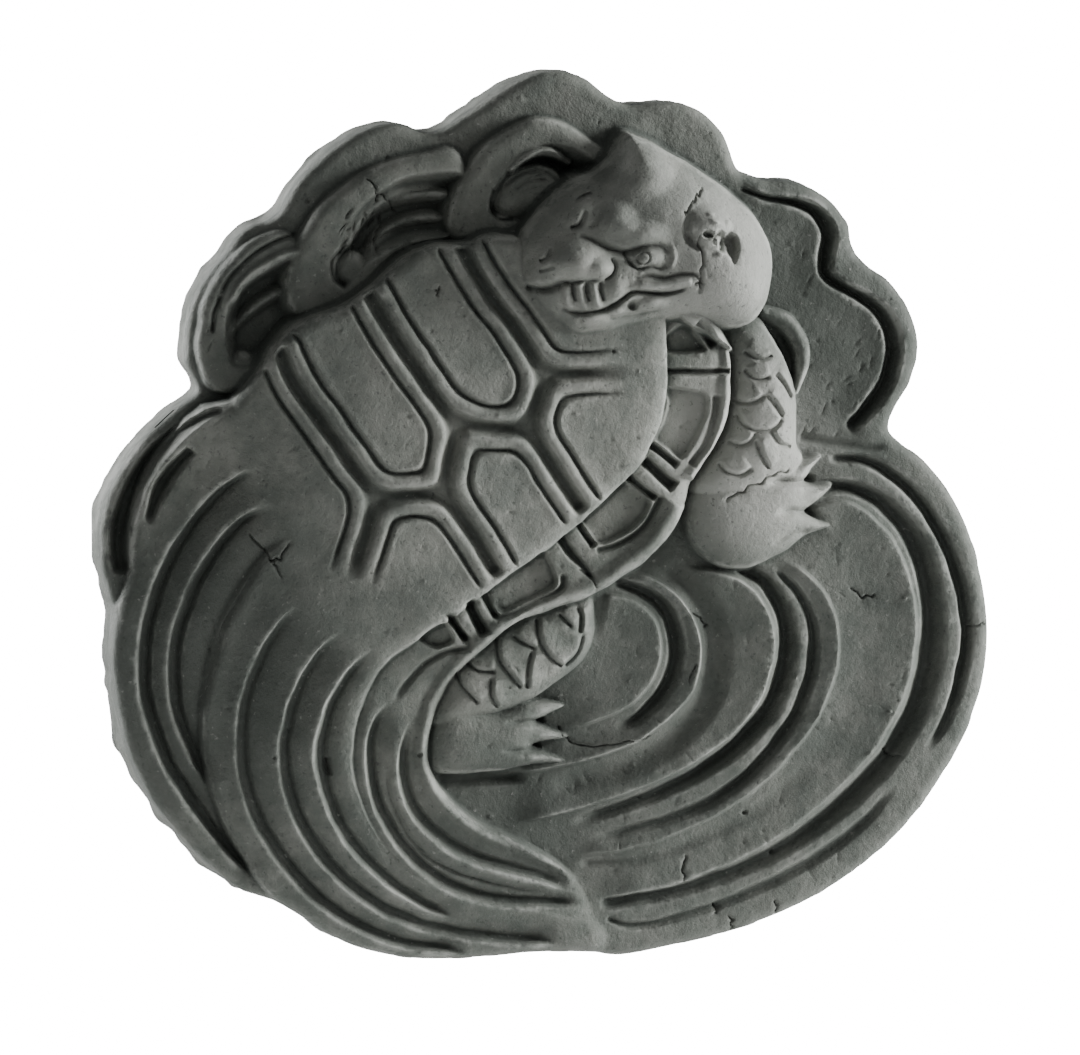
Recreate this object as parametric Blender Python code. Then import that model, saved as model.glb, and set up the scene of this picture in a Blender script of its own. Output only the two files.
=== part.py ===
"""Roof end tile: a long-tailed tortoise on curling waves, pressed in clay with a flat back.

One solid piece. Metres, +Z up, the relief faces -Y and the flat back lies on y = 0.
The relief is drawn in units of the sketch below: x to the right, z up, heights above the back.
"""
import bmesh
import bpy
import numpy as np

WIDTH = 0.2293          # the outline at the front edge, left to right
DEPTH = 0.0505          # flat back to the highest point of the head
DRAFT = 0.09            # how far the side wall leans out per unit of its height
EDGE_RADIUS = 0.0032    # rounding of the front edge
CELLS = 400             # cells along each side of the grid that is carved
TRIANGLES = 9000        # triangles kept on the front and the side wall

SKETCH_WIDTH = 229.3    # the drawn outline's width
SKETCH_DEPTH = 50.3     # the drawn head's height

OUTLINE = [(-88, 32), (-90.5, 39), (-90.5, 47), (-88.5, 55), (-85, 61), (-81, 66), (-78, 70.5),
    (-74, 73.5),
           (-70, 74.5), (-67, 77), (-64, 82), (-60, 87), (-54, 92.5), (-46, 97.5), (-39, 99.3),
           (-34.5, 98.5),
           (-30, 96.8), (-25, 98), (-19, 102), (-11, 107.5), (-3, 111.5), (4, 112.5), (11, 110.5),
           (17, 106),
           (22, 104.3), (32, 104.8), (40, 103), (46, 97.5), (48.7, 91.5), (51, 87.5), (57, 85.2),
           (66, 84.3),
           (74, 80.5), (79, 74.5), (80.3, 68.5), (84, 63.5), (91, 58.5), (96, 50.5), (97.8, 42),
           (96, 33.5),
           (91.5, 25.5), (90.5, 21), (94, 17), (99.5, 13), (106, 5.5), (111.5, -5), (115, -17),
           (116.8, -29),
           (116.3, -41), (113.5, -52), (108.5, -63), (101, -75), (91, -86), (79, -95.5), (66, -102.5),
           (50, -108.3), (33, -112), (20, -114), (12, -112.8), (-4, -112.3), (-20, -113.3), (-35, -112.8),
           (-50, -109), (-61, -102.5), (-69, -97.6), (-78, -94), (-88, -86), (-97, -75.5), (-104, -63.5),
           (-108, -50), (-109.8, -36), (-109, -24), (-110.5, -19), (-112.5, -10), (-112, 1),
           (-108.5, 10), (-102.5, 19),
           (-95, 26.5)]

# the ground under everything: sea, spray and rim
GROUND = [(0, 105, 20), (35, 98, 19.5), (60, 75, 18.5), (85, 45, 19), (75, 25, 18), (75, 60, 18.5),
          (-70, 70, 20), (-45, 90, 20), (-85, 45, 19), (-60, 60, 17), (-30, 80, 17), (-72, 45, 15),
          (90, 5, 19.5), (110, -30, 20), (85, -30, 19.5), (50, -35, 20.5), (20, -35, 21.5), (70, -75, 20),
          (95, -65, 20), (45, -100, 20), (0, -75, 17), (20, -65, 19.5), (20, -108, 20.5), (-10, -60, 17),
          (-100, 15, 19), (-108, -5, 19), (-100, -70, 20), (-90, -85, 20), (60, 20, 18), (40, 0, 18),
          (-108, -40, 20), (-60, -100, 20), (-30, -110, 20), (-20, -90, 20)]

# the turtle's back and its tail, as one low hill
HILL = [(-10, 22, 39), (12, 30, 38), (-30, 45, 38), (-35, 20, 39), (-50, 30, 37.5), (-60, 10, 36.5),
    (-35, -5, 37.5),
        (-20, -5, 36.5), (5, 8, 36), (25, 30, 36), (-25, 65, 34), (-62, 45, 34), (-75, 20, 32.5),
        (-55, -20, 34.5),
        (-80, -15, 30.5), (-92, 5, 26), (-100, -15, 24), (-105, -40, 22), (-78, -45, 28), (-62, -50, 30),
        (-48, -55, 30), (-38, -60, 29), (-78, -75, 25), (-60, -80, 27), (-40, -82, 28), (-25, -80, 27),
        (-40, -100, 23), (-15, -95, 24.5), (0, -103, 22.5), (-68, -95, 22), (-95, -60, 22.5),
        (-100, -75, 21),
        (-88, -85, 21), (-20, -110, 21), (15, -105, 21.5), (0, 45, 37), (5, 60, 37), (-10, 60, 36),
        (-101, 11, 23.5), (-88, 24, 26), (-106, 0, 22.5)]

TAIL_LEFT = [(-66, -4), (-72, -9), (-78, -17), (-83, -27), (-86, -39), (-87.5, -50), (-87, -61),
    (-84, -72),
             (-79, -83), (-73, -92), (-68, -98)]
BACK_TAIL_LEFT = [(-87, 28), (-92.5, 24), (-98.5, 17.5), (-103.3, 9), (-105.8, -1), (-106, -11),
    (-108, -19), (-110.5, -24)]


def smooth_line(points, closed=False, per=5):
    """A Catmull-Rom curve through the points, as a dense polyline."""
    p = np.asarray(points, float)
    if closed:
        p = np.vstack([p[-1], p, p[0], p[1]])
    else:
        p = np.vstack([2 * p[0] - p[1], p, 2 * p[-1] - p[-2]])
    t = np.linspace(0, 1, per, endpoint=False)[:, None]
    spans = []
    for a, b, c, d in zip(p, p[1:], p[2:], p[3:]):
        spans.append(0.5 * (2 * b + (c - a) * t + (2 * a - 5 * b + 4 * c - d) * t**2
                            + (3 * b - a - 3 * c + d) * t**3))
    line = np.vstack(spans)
    return line if closed else np.vstack([line, p[-2]])


def soft_max(a, b, k):
    """The larger of two heights, with a fillet about k high where they meet."""
    t = np.clip(0.5 + 0.5 * (a - b) / k, 0, 1)
    return b + (a - b) * t + k * t * (1 - t)


def blend_step(x, lo, hi):
    t = np.clip((x - lo) / (hi - lo), 0, 1)
    return t * t * (3 - 2 * t)


class Relief:
    """Heights in mm over sample points (x, z) of the tile's face."""

    def __init__(self, points):
        self.p = np.asarray(points, float)
        self.h = np.zeros(len(self.p))

    def near(self, line, reach):
        """Points within reach of the line: index, distance, signed distance, share along, length."""
        a, ab = line[:-1], line[1:] - line[:-1]
        length = np.hypot(*ab.T)
        start = np.concatenate([[0], np.cumsum(length)[:-1]])
        best = np.full(len(self.p), reach + 1e-9)
        side = np.ones(len(self.p))
        along = np.zeros(len(self.p))
        box = self.cull(line.min(0) - reach, line.max(0) + reach)
        for k in range(0, len(a), 6):
            part = line[k:k + 7]
            lo, hi = part.min(0) - reach, part.max(0) + reach
            q = self.p[box]
            index = box[(q[:, 0] > lo[0]) & (q[:, 0] < hi[0]) & (q[:, 1] > lo[1]) & (q[:, 1] < hi[1])]
            q = self.p[index]
            for n in range(k, min(k + 6, len(a))):
                dx, dz = q[:, 0] - a[n, 0], q[:, 1] - a[n, 1]
                u = np.clip((dx * ab[n, 0] + dz * ab[n, 1]) / (length[n]**2 + 1e-12), 0, 1)
                d = np.hypot(dx - u * ab[n, 0], dz - u * ab[n, 1])
                hit = d < best[index]
                i = index[hit]
                best[i] = d[hit]
                side[i] = np.where(ab[n, 0] * dz[hit] - ab[n, 1] * dx[hit] >= 0, 1, -1)
                along[i] = start[n] + u[hit] * length[n]
        index = np.nonzero(best <= reach)[0]
        d = best[index]
        return index, d, d * side[index], along[index] / length.sum(), length.sum()

    def cull(self, lo, hi):
        return np.nonzero((self.p[:, 0] > lo[0]) & (self.p[:, 0] < hi[0])
                          & (self.p[:, 1] > lo[1]) & (self.p[:, 1] < hi[1]))[0]

    def inside(self, loop, reach, deep=30):
        """Signed distance to a closed loop, positive inside, from reach outside it to deep inside."""
        closed = np.vstack([loop, loop[:1]])
        index = self.cull(loop.min(0) - reach, loop.max(0) + reach)
        x, z = self.p[index].T
        within = np.zeros(len(index), bool)
        for (ax, az), (bx, bz) in zip(closed, closed[1:]):
            if az != bz:
                cross = (az > z) != (bz > z)
                within[cross] ^= x[cross] < ax + (z[cross] - az) * (bx - ax) / (bz - az)
        signed = np.where(within, deep, -1e9)
        full = np.zeros(len(self.p))
        full[index] = signed
        i, d, _, _, _ = self.near(closed, max(reach, deep))
        full[i] = np.where(full[i] > 0, d, -d)
        signed = full[index]
        keep = signed >= -reach
        return index[keep], signed[keep]

    def ends(self, along, total, fade):
        """1 along a stroke, easing to 0 over fade mm at each end."""
        first, last = fade
        e = np.ones_like(along)
        if first:
            e *= blend_step(along * total, 0, first)
        if last:
            e *= blend_step((1 - along) * total, 0, last)
        return e

    def groove(self, points, width, depth, fade=(4, 4), sharp=2.0):
        """A channel, round-bottomed or, where sharp is 1, a V between round shoulders."""
        widths, depths = np.atleast_1d(width).astype(float), np.atleast_1d(depth).astype(float)
        i, d, _, t, total = self.near(smooth_line(points), widths.max() / 2)
        w = np.interp(t, np.linspace(0, 1, len(widths)), widths) / 2
        cut = np.interp(t, np.linspace(0, 1, len(depths)), depths)
        u = np.clip(d / w, 0, 1)
        self.h[i] -= cut * self.ends(t, total, fade) * (1 - u**sharp)**2

    def swell(self, points, rise, reach, side=1, fade=(4, 4), power=1.6):
        """The surface rises toward the line on one side of it, over reach mm."""
        i, d, s, t, total = self.near(smooth_line(points), reach)
        on = s * side >= 0
        i, d, t = i[on], d[on], t[on]
        self.h[i] += rise * self.ends(t, total, fade) * (1 - d / reach)**power * blend_step(d, 0, 1.4)

    def ridge(self, points, width, height, fade=(3, 3)):
        self.groove(points, width, -np.asarray(height, float), fade)

    def sheet(self, loop, top, radius, steep=3.5, fillet=0.8, smooth=True):
        """Raises the region in the loop to top, with a rounded edge and a steep drafted wall."""
        loop = smooth_line(loop, True) if smooth else np.asarray(loop, float)
        i, s = self.inside(loop, 8, np.max(radius))
        radius, steep = (a[i] if np.ndim(a) else a for a in (radius, steep))
        inner = np.clip(radius - s, 0, radius)
        drop = radius - np.sqrt(radius**2 - inner**2) + np.clip(-s, 0, None) * steep
        high = (top[i] if np.ndim(top) else top) - drop
        self.h[i] = soft_max(self.h[i], high, fillet)
        return i, s

    def sink(self, loop, floor, steep=2.5, fillet=1.0):
        """Hollows the region in the loop down to floor, with sloping walls."""
        i, s = self.inside(smooth_line(loop, True), 1, 12)
        bottom = floor - np.minimum(s, 0) * 30 + np.clip(12 - s * steep, 0, None)
        self.h[i] = -soft_max(-self.h[i], -bottom, fillet)

    def depth_in(self, index, loop, s):
        """Depth inside a loop without a crease along its middle: near the edge, the plain distance."""
        deep = s > 1.5
        closed = np.vstack([loop, loop[:1]])
        middle, length = (closed[1:] + closed[:-1]) / 2, np.hypot(*(closed[1:] - closed[:-1]).T)
        q = self.p[index[deep]]
        out = np.empty(len(q))
        for k in range(0, len(q), 4000):
            part = q[k:k + 4000, None]
            cube = np.hypot(part[..., 0] - middle[:, 0], part[..., 1] - middle[:, 1])**3
            out[k:k + 4000] = np.sqrt(2 / (length / cube).sum(1))
        soft = s.copy()
        mix = blend_step(s[deep], 1.5, 3.5)
        soft[deep] = s[deep] * (1 - mix) + out * mix
        return soft

    def pillow(self, loop, base, rise, reach, steep=3.5, fillet=1.0):
        """Raises a domed region: rise mm higher than base once reach mm inside the loop."""
        loop = smooth_line(loop, True)
        i, s = self.inside(loop, 8, 40)
        u = np.clip(self.depth_in(i, loop, s) / reach, 0, 1)
        high = base + rise * np.sqrt(1 - (1 - u)**2) - np.clip(-s, 0, None) * steep
        self.h[i] = soft_max(self.h[i], high, fillet)

    def bump(self, x, z, rx, rz, height, turn=0.0, power=1.0):
        """Adds a soft elliptical bump, or a hollow where height is below zero."""
        c, s = np.cos(np.radians(turn)), np.sin(np.radians(turn))
        dx, dz = self.p[:, 0] - x, self.p[:, 1] - z
        near = (abs(dx) < 1.5 * max(rx, rz)) & (abs(dz) < 1.5 * max(rx, rz))
        u = ((dx * c + dz * s) / rx)[near], ((dz * c - dx * s) / rz)[near]
        r2 = np.clip(u[0]**2 + u[1]**2, 0, 1)
        self.h[near] += height * (1 - r2)**(1 + power)

    def terrain(self, posts, spread):
        """A smooth base through soft posts (x, z, height)."""
        posts = np.asarray(posts, float)
        out = np.empty(len(self.p))
        for k in range(0, len(self.p), 50000):
            q = self.p[k:k + 50000]
            d2 = ((q[:, None] - posts[:, :2])**2).sum(2)
            w = np.exp(-d2 / (2 * spread**2)) + 1e-9
            out[k:k + 50000] = (w * posts[:, 2]).sum(1) / w.sum(1)
        return out


def carve(points):
    r = Relief(points)
    r.h = r.terrain(GROUND, 13)
    hill = r.terrain(HILL, 13)
    waves(r)
    upper_right(r)
    curls(r)
    body(r, hill)
    legs(r)
    head(r)
    rim_round(r)
    return r.h


def waves(r):
    # edges of the three broad swells, from the top clockwise
    w1 = [(15, -19.5), (23, -21), (28, -25.5), (30.3, -32), (30, -39), (26.5, -45.5), (21, -50.5),
        (13, -54), (4, -56)]
    c1 = [(17, -17.5), (25, -19.5), (31, -24.5), (33.8, -32), (33.3, -40), (30, -46.5), (24.5, -52),
        (17, -56)]
    r1 = [(20, -13), (29, -16), (36, -22), (40.3, -30), (41, -38), (38.3, -46.5), (32, -53.5),
        (23, -59.5), (12, -63.5), (0, -66), (-14, -68)]
    w2 = [(34, -13), (44, -14), (52, -17), (57.5, -23), (60, -31), (59.5, -40), (56, -49.5),
        (49, -57.5), (40, -64), (29, -69.5), (17, -74), (5, -77.5), (-8, -80)]
    c2 = [(50, -13.5), (57.5, -18), (61.8, -25), (63.3, -33), (62.3, -42), (58.5, -51), (51, -59.5),
        (42, -66), (31, -71.5), (19, -76), (6, -80)]
    c2b = [(60, -14.5), (65.5, -20), (69.3, -27.5), (70.3, -35), (69, -43.5), (64.8, -53.5),
        (58, -62.5), (49.5, -70.5), (38, -76.8), (24, -81), (10, -83.8)]
    r3 = [(60, -10.5), (68, -14.5), (74, -21.5), (77.2, -30), (77, -40), (73, -51.5), (66, -61.5),
        (57, -70.5), (46, -78), (33, -83.8), (20, -87.3), (8, -88.5)]
    w3 = [(66, 0), (73, 3), (80, 2.8), (87, -2), (92.5, -9), (96, -18), (97.7, -28), (97, -39),
        (93.5, -50.5), (87, -61.5), (78, -71.5), (67, -80.5),
          (54, -88.5), (40, -94.3), (26, -98), (13, -99.7)]
    c3 = [(68, 5), (77, 6.5), (85, 4.3), (91.5, -0.5), (97, -8), (100.5, -17.5), (101.7, -28),
        (101, -39.5), (97.5, -51.5), (91.5, -62), (83, -71.5),
          (72, -80.8), (59, -88.6), (44, -94.8), (28, -98.8), (14, -100.5)]
    c4 = [(74, 13.5), (82, 13.5), (90, 10), (97, 4), (103, -4.5), (107.5, -14), (110.3, -25),
        (110.7, -35), (108.5, -46), (104.5, -56), (100, -62.5)]
    c4b = [(92, -71), (85, -79.5), (75, -87.3), (63, -93.8), (50, -99.6), (36, -103.8), (23, -106.2),
        (15.5, -104)]

    r.swell(w1, 2.2, 15, side=-1, fade=(2, 10))
    r.swell(r1, 3.4, 7.5, side=-1, fade=(8, 14))
    r.swell(w2, 3.2, 16, side=-1, fade=(12, 10))
    r.swell(r3, 2.2, 7, side=-1, fade=(10, 8))
    r.swell(w3, 2.0, 15, side=-1, fade=(6, 12))
    r.groove(c1, [3, 5, 5.5, 5, 3], [2.5, 5, 5, 4.5, 2], (3, 8))
    foot_of_r1 = [(30, -13.5), (38, -19), (43, -28), (44.5, -38), (41.5, -48.5), (34, -57), (24, -63.5),
        (12, -67.5), (0, -70)]
    r.groove(foot_of_r1, [8, 10, 9, 7], [1.5, 3.2, 2.6, 1.2], (4, 8))
    r.groove(c2, [4.5, 6.5, 6.5, 5, 3.5], [4.5, 6.5, 6.5, 4.5, 2.5], (2, 10))
    r.groove(c2b, [2.5, 4.5, 4.6, 4, 2.6], [2, 4, 4, 2.6, 1.2], (3, 12))
    r.groove([(80, -20), (83, -32), (82, -42), (78, -53), (70, -64), (60, -73.5), (48, -80.5),
        (35, -86), (22, -89.3), (9, -90)], [8, 8, 5, 3], [0, 0.2, 0.6, 1.2], (8, 3))
    r.groove(c3, [4, 7.5, 8.5, 7, 5, 4], [3.5, 6.5, 7, 5.5, 4.2, 3.6], (3, 3))
    r.groove(c4, [3, 4.6, 5, 4.6, 3], [2.5, 4.6, 5, 4.4, 1.5], (3, 6))
    r.groove(c4b, [3, 4.5, 4, 3, 2.5], [1.2, 2.4, 2.2, 1.8, 1.6], (8, 2))


def upper_right(r):
    channel = [(50, 83.2), (57, 80.6), (65, 79.3), (71, 76.6), (73.8, 71.5), (73, 66), (73, 61.5),
        (78, 57.5), (85.5, 53.2), (90, 47),
               (91, 40), (88.5, 32.5), (83.5, 25.5), (78.5, 21)]
    r.swell(channel, 1.8, 9, side=1, fade=(6, 6))
    r.swell(channel, 1.2, 9, side=-1, fade=(6, 6))
    r.groove(channel, [1.6, 2.6, 5, 5.4, 4, 5.2, 5.6, 5.4, 4.4],
        [1.5, 3, 5.5, 5.5, 4.5, 5.5, 6, 5.6, 4.5], (3, 3))
    # sea edge above the front foot
    r.groove([(66, 19), (74, 18), (84, 16.5), (90, 17)], [4, 3], [1.6, 0.8], (2, 4))


def hook(r, arm, width, base, rise, steep=3.0):
    """A curl of spray: a rounded band swept along its middle line."""
    line = smooth_line(arm)
    widths = np.atleast_1d(width).astype(float)
    i, d, s, t, total = r.near(line, widths.max() / 2 + 4)
    w = np.interp(t, np.linspace(0, 1, len(widths)), widths) / 2
    u = np.clip(d / w, 0, 1)
    top = base + rise * np.sqrt(1 - u**2) - np.clip(d - w, 0, None) * steep
    r.h[i] = soft_max(r.h[i], top, 0.8)


def curls(r):
    # left lobe: a rim, two swept ridges that run into a dark hollow, and a small ball
    r.sheet([(-63, 70), (-68, 72.5), (-75, 70), (-81, 64), (-85.5, 57), (-88, 49), (-88.5, 41),
        (-86, 34), (-81, 31.5), (-74, 34), (-68, 44), (-60, 52), (-58, 62)],
            22.5, 3)
    r.sink([(-52, 69), (-60, 69), (-68, 67.6), (-75, 64), (-80, 58.5), (-82.6, 52), (-82.6, 44),
        (-81, 38), (-78, 36.5), (-74, 37), (-66, 42), (-56, 50), (-50, 60)], 14)
    r.ridge([(-58, 65.4), (-65, 65), (-71, 63), (-76.5, 58.8), (-80.3, 53)], [6.5, 6.5, 5, 3],
        [5, 5, 4, 2.5], (0, 3))
    r.ridge([(-58, 58.4), (-66, 57.4), (-72.5, 54.2), (-77.5, 49.4), (-80, 45)], [6, 6, 5, 3],
        [4.5, 4.5, 4, 1.5], (0, 3))
    r.pillow(ring(-77, 38, 4.5), 15, 7, 4.4)
    r.groove([(-60, 71.6), (-68, 70), (-75, 66), (-80, 60.4), (-83, 55)], 2.2, 1.8, (1, 3), sharp=1.2)
    r.groove([(-84.8, 46.6), (-84.2, 51.6), (-82.2, 56.4)], 1.9, 1.8, (1, 1), sharp=1.2)
    # middle curl: a broad band round a hollow with a rough lobe, two ribs and a ball
    r.sheet([(-22, 91.8), (-32, 91.6), (-41, 89.6), (-50.4, 84.8), (-58.4, 78), (-63.6, 69.6),
        (-65.9, 61.5), (-65.5, 54), (-61.2, 49.8), (-53.5, 50.2), (-45, 54.8),
             (-38, 66), (-26, 70), (-20, 74)], 25, 4)
    r.sink([(-20, 87), (-34, 87), (-41.6, 84), (-47.9, 79.4), (-51.6, 73.4), (-54.6, 66.4), (-55.4, 61),
        (-53.2, 57.4), (-50.5, 57.2), (-46, 63), (-42, 65.5), (-34, 68.5),
            (-24, 70), (-18, 73)], 15)
    r.ridge([(-24, 81.4), (-31, 81.8), (-39, 80.2), (-45.6, 76), (-50, 69.6), (-51.4, 66)],
        [6, 6, 5, 3.4], [5.4, 5.4, 4.6, 2.6], (1, 4))
    r.ridge([(-22, 75), (-30, 75.6), (-37.4, 74), (-43, 70.4), (-46.4, 66)], [6, 6, 5, 3],
        [5, 5, 4.2, 2], (1, 4))
    r.pillow(ring(-49.6, 62.6, 4.9), 18, 7, 4.8)
    r.groove([(-51, 58.2), (-54.2, 60.2), (-54.8, 64.4), (-52.4, 67.4)], 1.9, 1.6, (0.6, 0.6), sharp=1.2)
    # right curl, by the head: a band round a smooth lobe that ends in a ball
    r.sheet([(15.5, 91), (10.9, 95.4), (4.8, 99.3), (-1.3, 100.8), (-6.5, 99.7), (-16.2, 93.6),
        (-22.4, 84.9), (-25.4, 76.4), (-24.8, 71), (-20.8, 67.8), (-13.5, 68), (-4, 70),
             (2, 78), (10, 84)], 26, 4)
    r.sink([(12.5, 89.3), (7, 93.4), (-0.5, 94.4), (-7, 91.6), (-12.4, 86), (-15.4, 80), (-15.4, 76.3),
        (-12.4, 75), (-9, 74.4), (-3, 73), (2, 77), (11, 86)], 15)
    r.pillow([(-14, 79.4), (-12.2, 84.6), (-7.6, 88.4), (-1.4, 89.2), (3.6, 86), (4.4, 80), (0, 75.4),
        (-6, 73.6), (-12, 75.4)], 20.5, 6, 6.5)
    r.ridge([(-10, 87), (-5.5, 90.8), (0.5, 92), (6.8, 88.8)], [2.4, 3, 3.4, 3], [3, 5.2, 5.6, 4], (1, 1))
    r.groove([(-11, 83.6), (-6.6, 86.8), (-1.4, 87.4), (2.6, 84.8)], 1.4, 1.0, (0.8, 0.8))
    r.groove([(-8.4, 82.6), (-4.4, 85), (0, 85)], 1.3, 0.7, (0.8, 0.8))
    r.bump(-10.2, 79.3, 4.8, 4.4, 1.8, 0, 0.6)
    r.groove([(-8.6, 75), (-12.8, 75.4), (-14.6, 79), (-13.6, 83)], 1.9, 1.8, (0.6, 0.8), sharp=1.2)
    # crescent behind the front leg
    r.bump(60, 42, 7, 7, -2.5)
    hook(r, [(56, 51.5), (62, 49), (66, 43.5), (66.5, 37.5), (64.5, 31)], [4, 5.4, 5.2, 4.4, 2.5], 18, 5)


def ring(x, z, radius):
    return [(x + radius * np.cos(t), z + radius * np.sin(t)) for t in np.linspace(0, 2 * np.pi, 8,
        endpoint=False)]


RIGHT_EDGE = [(45, 44), (46.5, 36), (46.3, 28), (43.8, 20), (39.5, 13), (36.4, 8), (34.8, 3), (31, -5),
    (24.5, -11.5),
              (16, -17), (8, -21), (0, -23.5), (-8, -26.3), (-14, -30.5), (-20, -37), (-25.5, -43.5),
              (-28.7, -50), (-30, -57), (-29.5, -64),
              (-25.5, -70.5), (-19, -76.5), (-10, -81.5), (-1, -85.8), (7, -91.5), (11.5, -96.5),
              (14, -101), (17.5, -108), (17, -118)]


def body(r, hill):
    """Shell and tail: one hill with a steep edge, then the grooves that are cut in it."""
    top = [(-80.5, 29.5), (-74, 37), (-66.5, 46.5), (-61, 50.5), (-53, 53.5), (-46, 58), (-38, 65),
        (-30, 68.5), (-22, 69), (-10, 71), (30, 60), (40, 52)]
    left = smooth_line(BACK_TAIL_LEFT)[::-1]
    loop = np.vstack([smooth_line(top + RIGHT_EDGE), [(-20, -120), (-70, -114), (-105, -95),
        (-118, -60), (-118, -34)], left])
    # the margin lies lower than the shell above it
    beyond = smooth_line(RIGHT_EDGE[:26])[::-1] + (12, -8)
    i, s = r.inside(np.vstack([smooth_line(CLIFF), beyond]), 0.5, 3)
    hill[i] -= np.interp(r.p[i, 1], [-95, -75, -50, -32, -15],
        [0.6, 1.6, 2.8, 4.6, 5.2]) * blend_step(s, 0, 1.3)
    # a steeper, tighter edge at the upper left, a rounder one along the margin's rim
    left_to_right = r.p[:, 0] - r.p[:, 1]
    steep = np.interp(left_to_right, [-60, 0], [6.5, 4])
    radius = np.interp(left_to_right, [-60, 0], [3.6, 6.4])
    i, s = r.sheet(loop, hill + 0.12 * (radius - 3.6), radius, steep, smooth=False)
    on_back = np.zeros(len(r.h))
    on_back[i] = blend_step(s, 0, 1.5)
    r.groove([(-82, 28), (-88, 25.6), (-95, 20.4), (-101, 13.6), (-105.6, 5), (-108, -5),
        (-107.4, -14)], [2, 4.5, 6.5, 7, 5], [1.5, 5, 7, 7, 4], (2, 2))
    r.groove([(-90, 18), (-95, 12.4), (-99, 5.6), (-101.4, -1)], [3.5, 5.5, 3], [4, 6, 2.5], (1, 3))
    strands(r)
    scutes(r, on_back)
    margin(r)


def borders():
    j0, j1, j2, j3, j4 = (-2.5, 36.3), (-25, 24.3), (-7, 23.3), (-45, 6), (-28.3, 6.8)
    return [
        [(-23.5, 68.5), (-17.5, 58), (-10, 48), j0],
        [j0, (8, 36.6), (20, 37.3)],
        [j0, (-5, 29), j2],
        [(-47, 57.5), (-42, 48.5), (-35.5, 38.5), (-30, 30.5), j1],
        [j1, (-16, 23), j2],
        [j2, (-1, 14), (7.5, 1.2)],
        [j1, (-26.8, 16), j4],
        [(-68.5, 42), (-65, 34), (-58, 24), (-51, 14), j3],
        [j3, (-36, 6.5), j4],
        [j4, (-21, -3), (-14, -14.6)],
        [j3, (-48, -5), (-51.5, -15)],
    ]


# borders that run out on the shell, and the length over which each fades
TAPERS = {(20, 37.3): 15, (7.5, 1.2): 2.5, (-14, -14.6): 2.5, (-51.5, -15): 7}


def scutes(r, on_back):
    """Double-lined scutes: on each border a broad groove, beside it a band, then a fine line."""
    near = np.zeros(len(r.p))
    ends = np.zeros(len(r.p))
    best = np.full(len(r.p), 1e9)
    for line in borders():
        i, d, s, t, total = r.near(smooth_line(line), 10)
        near[i] += np.exp(-d / 0.9)
        first = d < best[i]
        best[i[first]] = d[first]
        tip = 1 - blend_step(t[first] * total, total - TAPERS.get(line[-1], 0), total)
        ends[i[first]] = tip if line[-1] in TAPERS else 1.0
    on = near > 0
    d = -0.9 * np.log(near[on])
    groove = (1 - np.clip(d / 2.4, 0, 1)**2)**1.5
    r.h[on] += on_back[on] * ends[on] * (0.55 * np.exp(-((d - 3.3) / 1.2)**2) - 3.7 * groove
                           - 1.9 * np.exp(-((d - 5.4) / 0.58)**2) + 0.25 * np.exp(-((d - 6.7) / 0.8)**2))


def bars(r, cuts, width, depth):
    for a, b in cuts:
        mid = ((a[0] + b[0]) / 2, (a[1] + b[1]) / 2)
        r.groove([a, mid, b], width, depth, (0.8, 0.8))


CLIFF = [(27.5, 54), (27.8, 46), (28.4, 37), (28, 30), (26.2, 23), (22.8, 16), (16.8, 8.7), (8.7, 1.2),
    (0, -5.6), (-9, -11.9), (-18, -18.2),
         (-27, -24.7), (-36, -30.7), (-42.5, -36), (-47, -43), (-50, -51), (-51, -60), (-49.5, -70),
         (-45.5, -79), (-39, -88), (-31, -94.5)]


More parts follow.
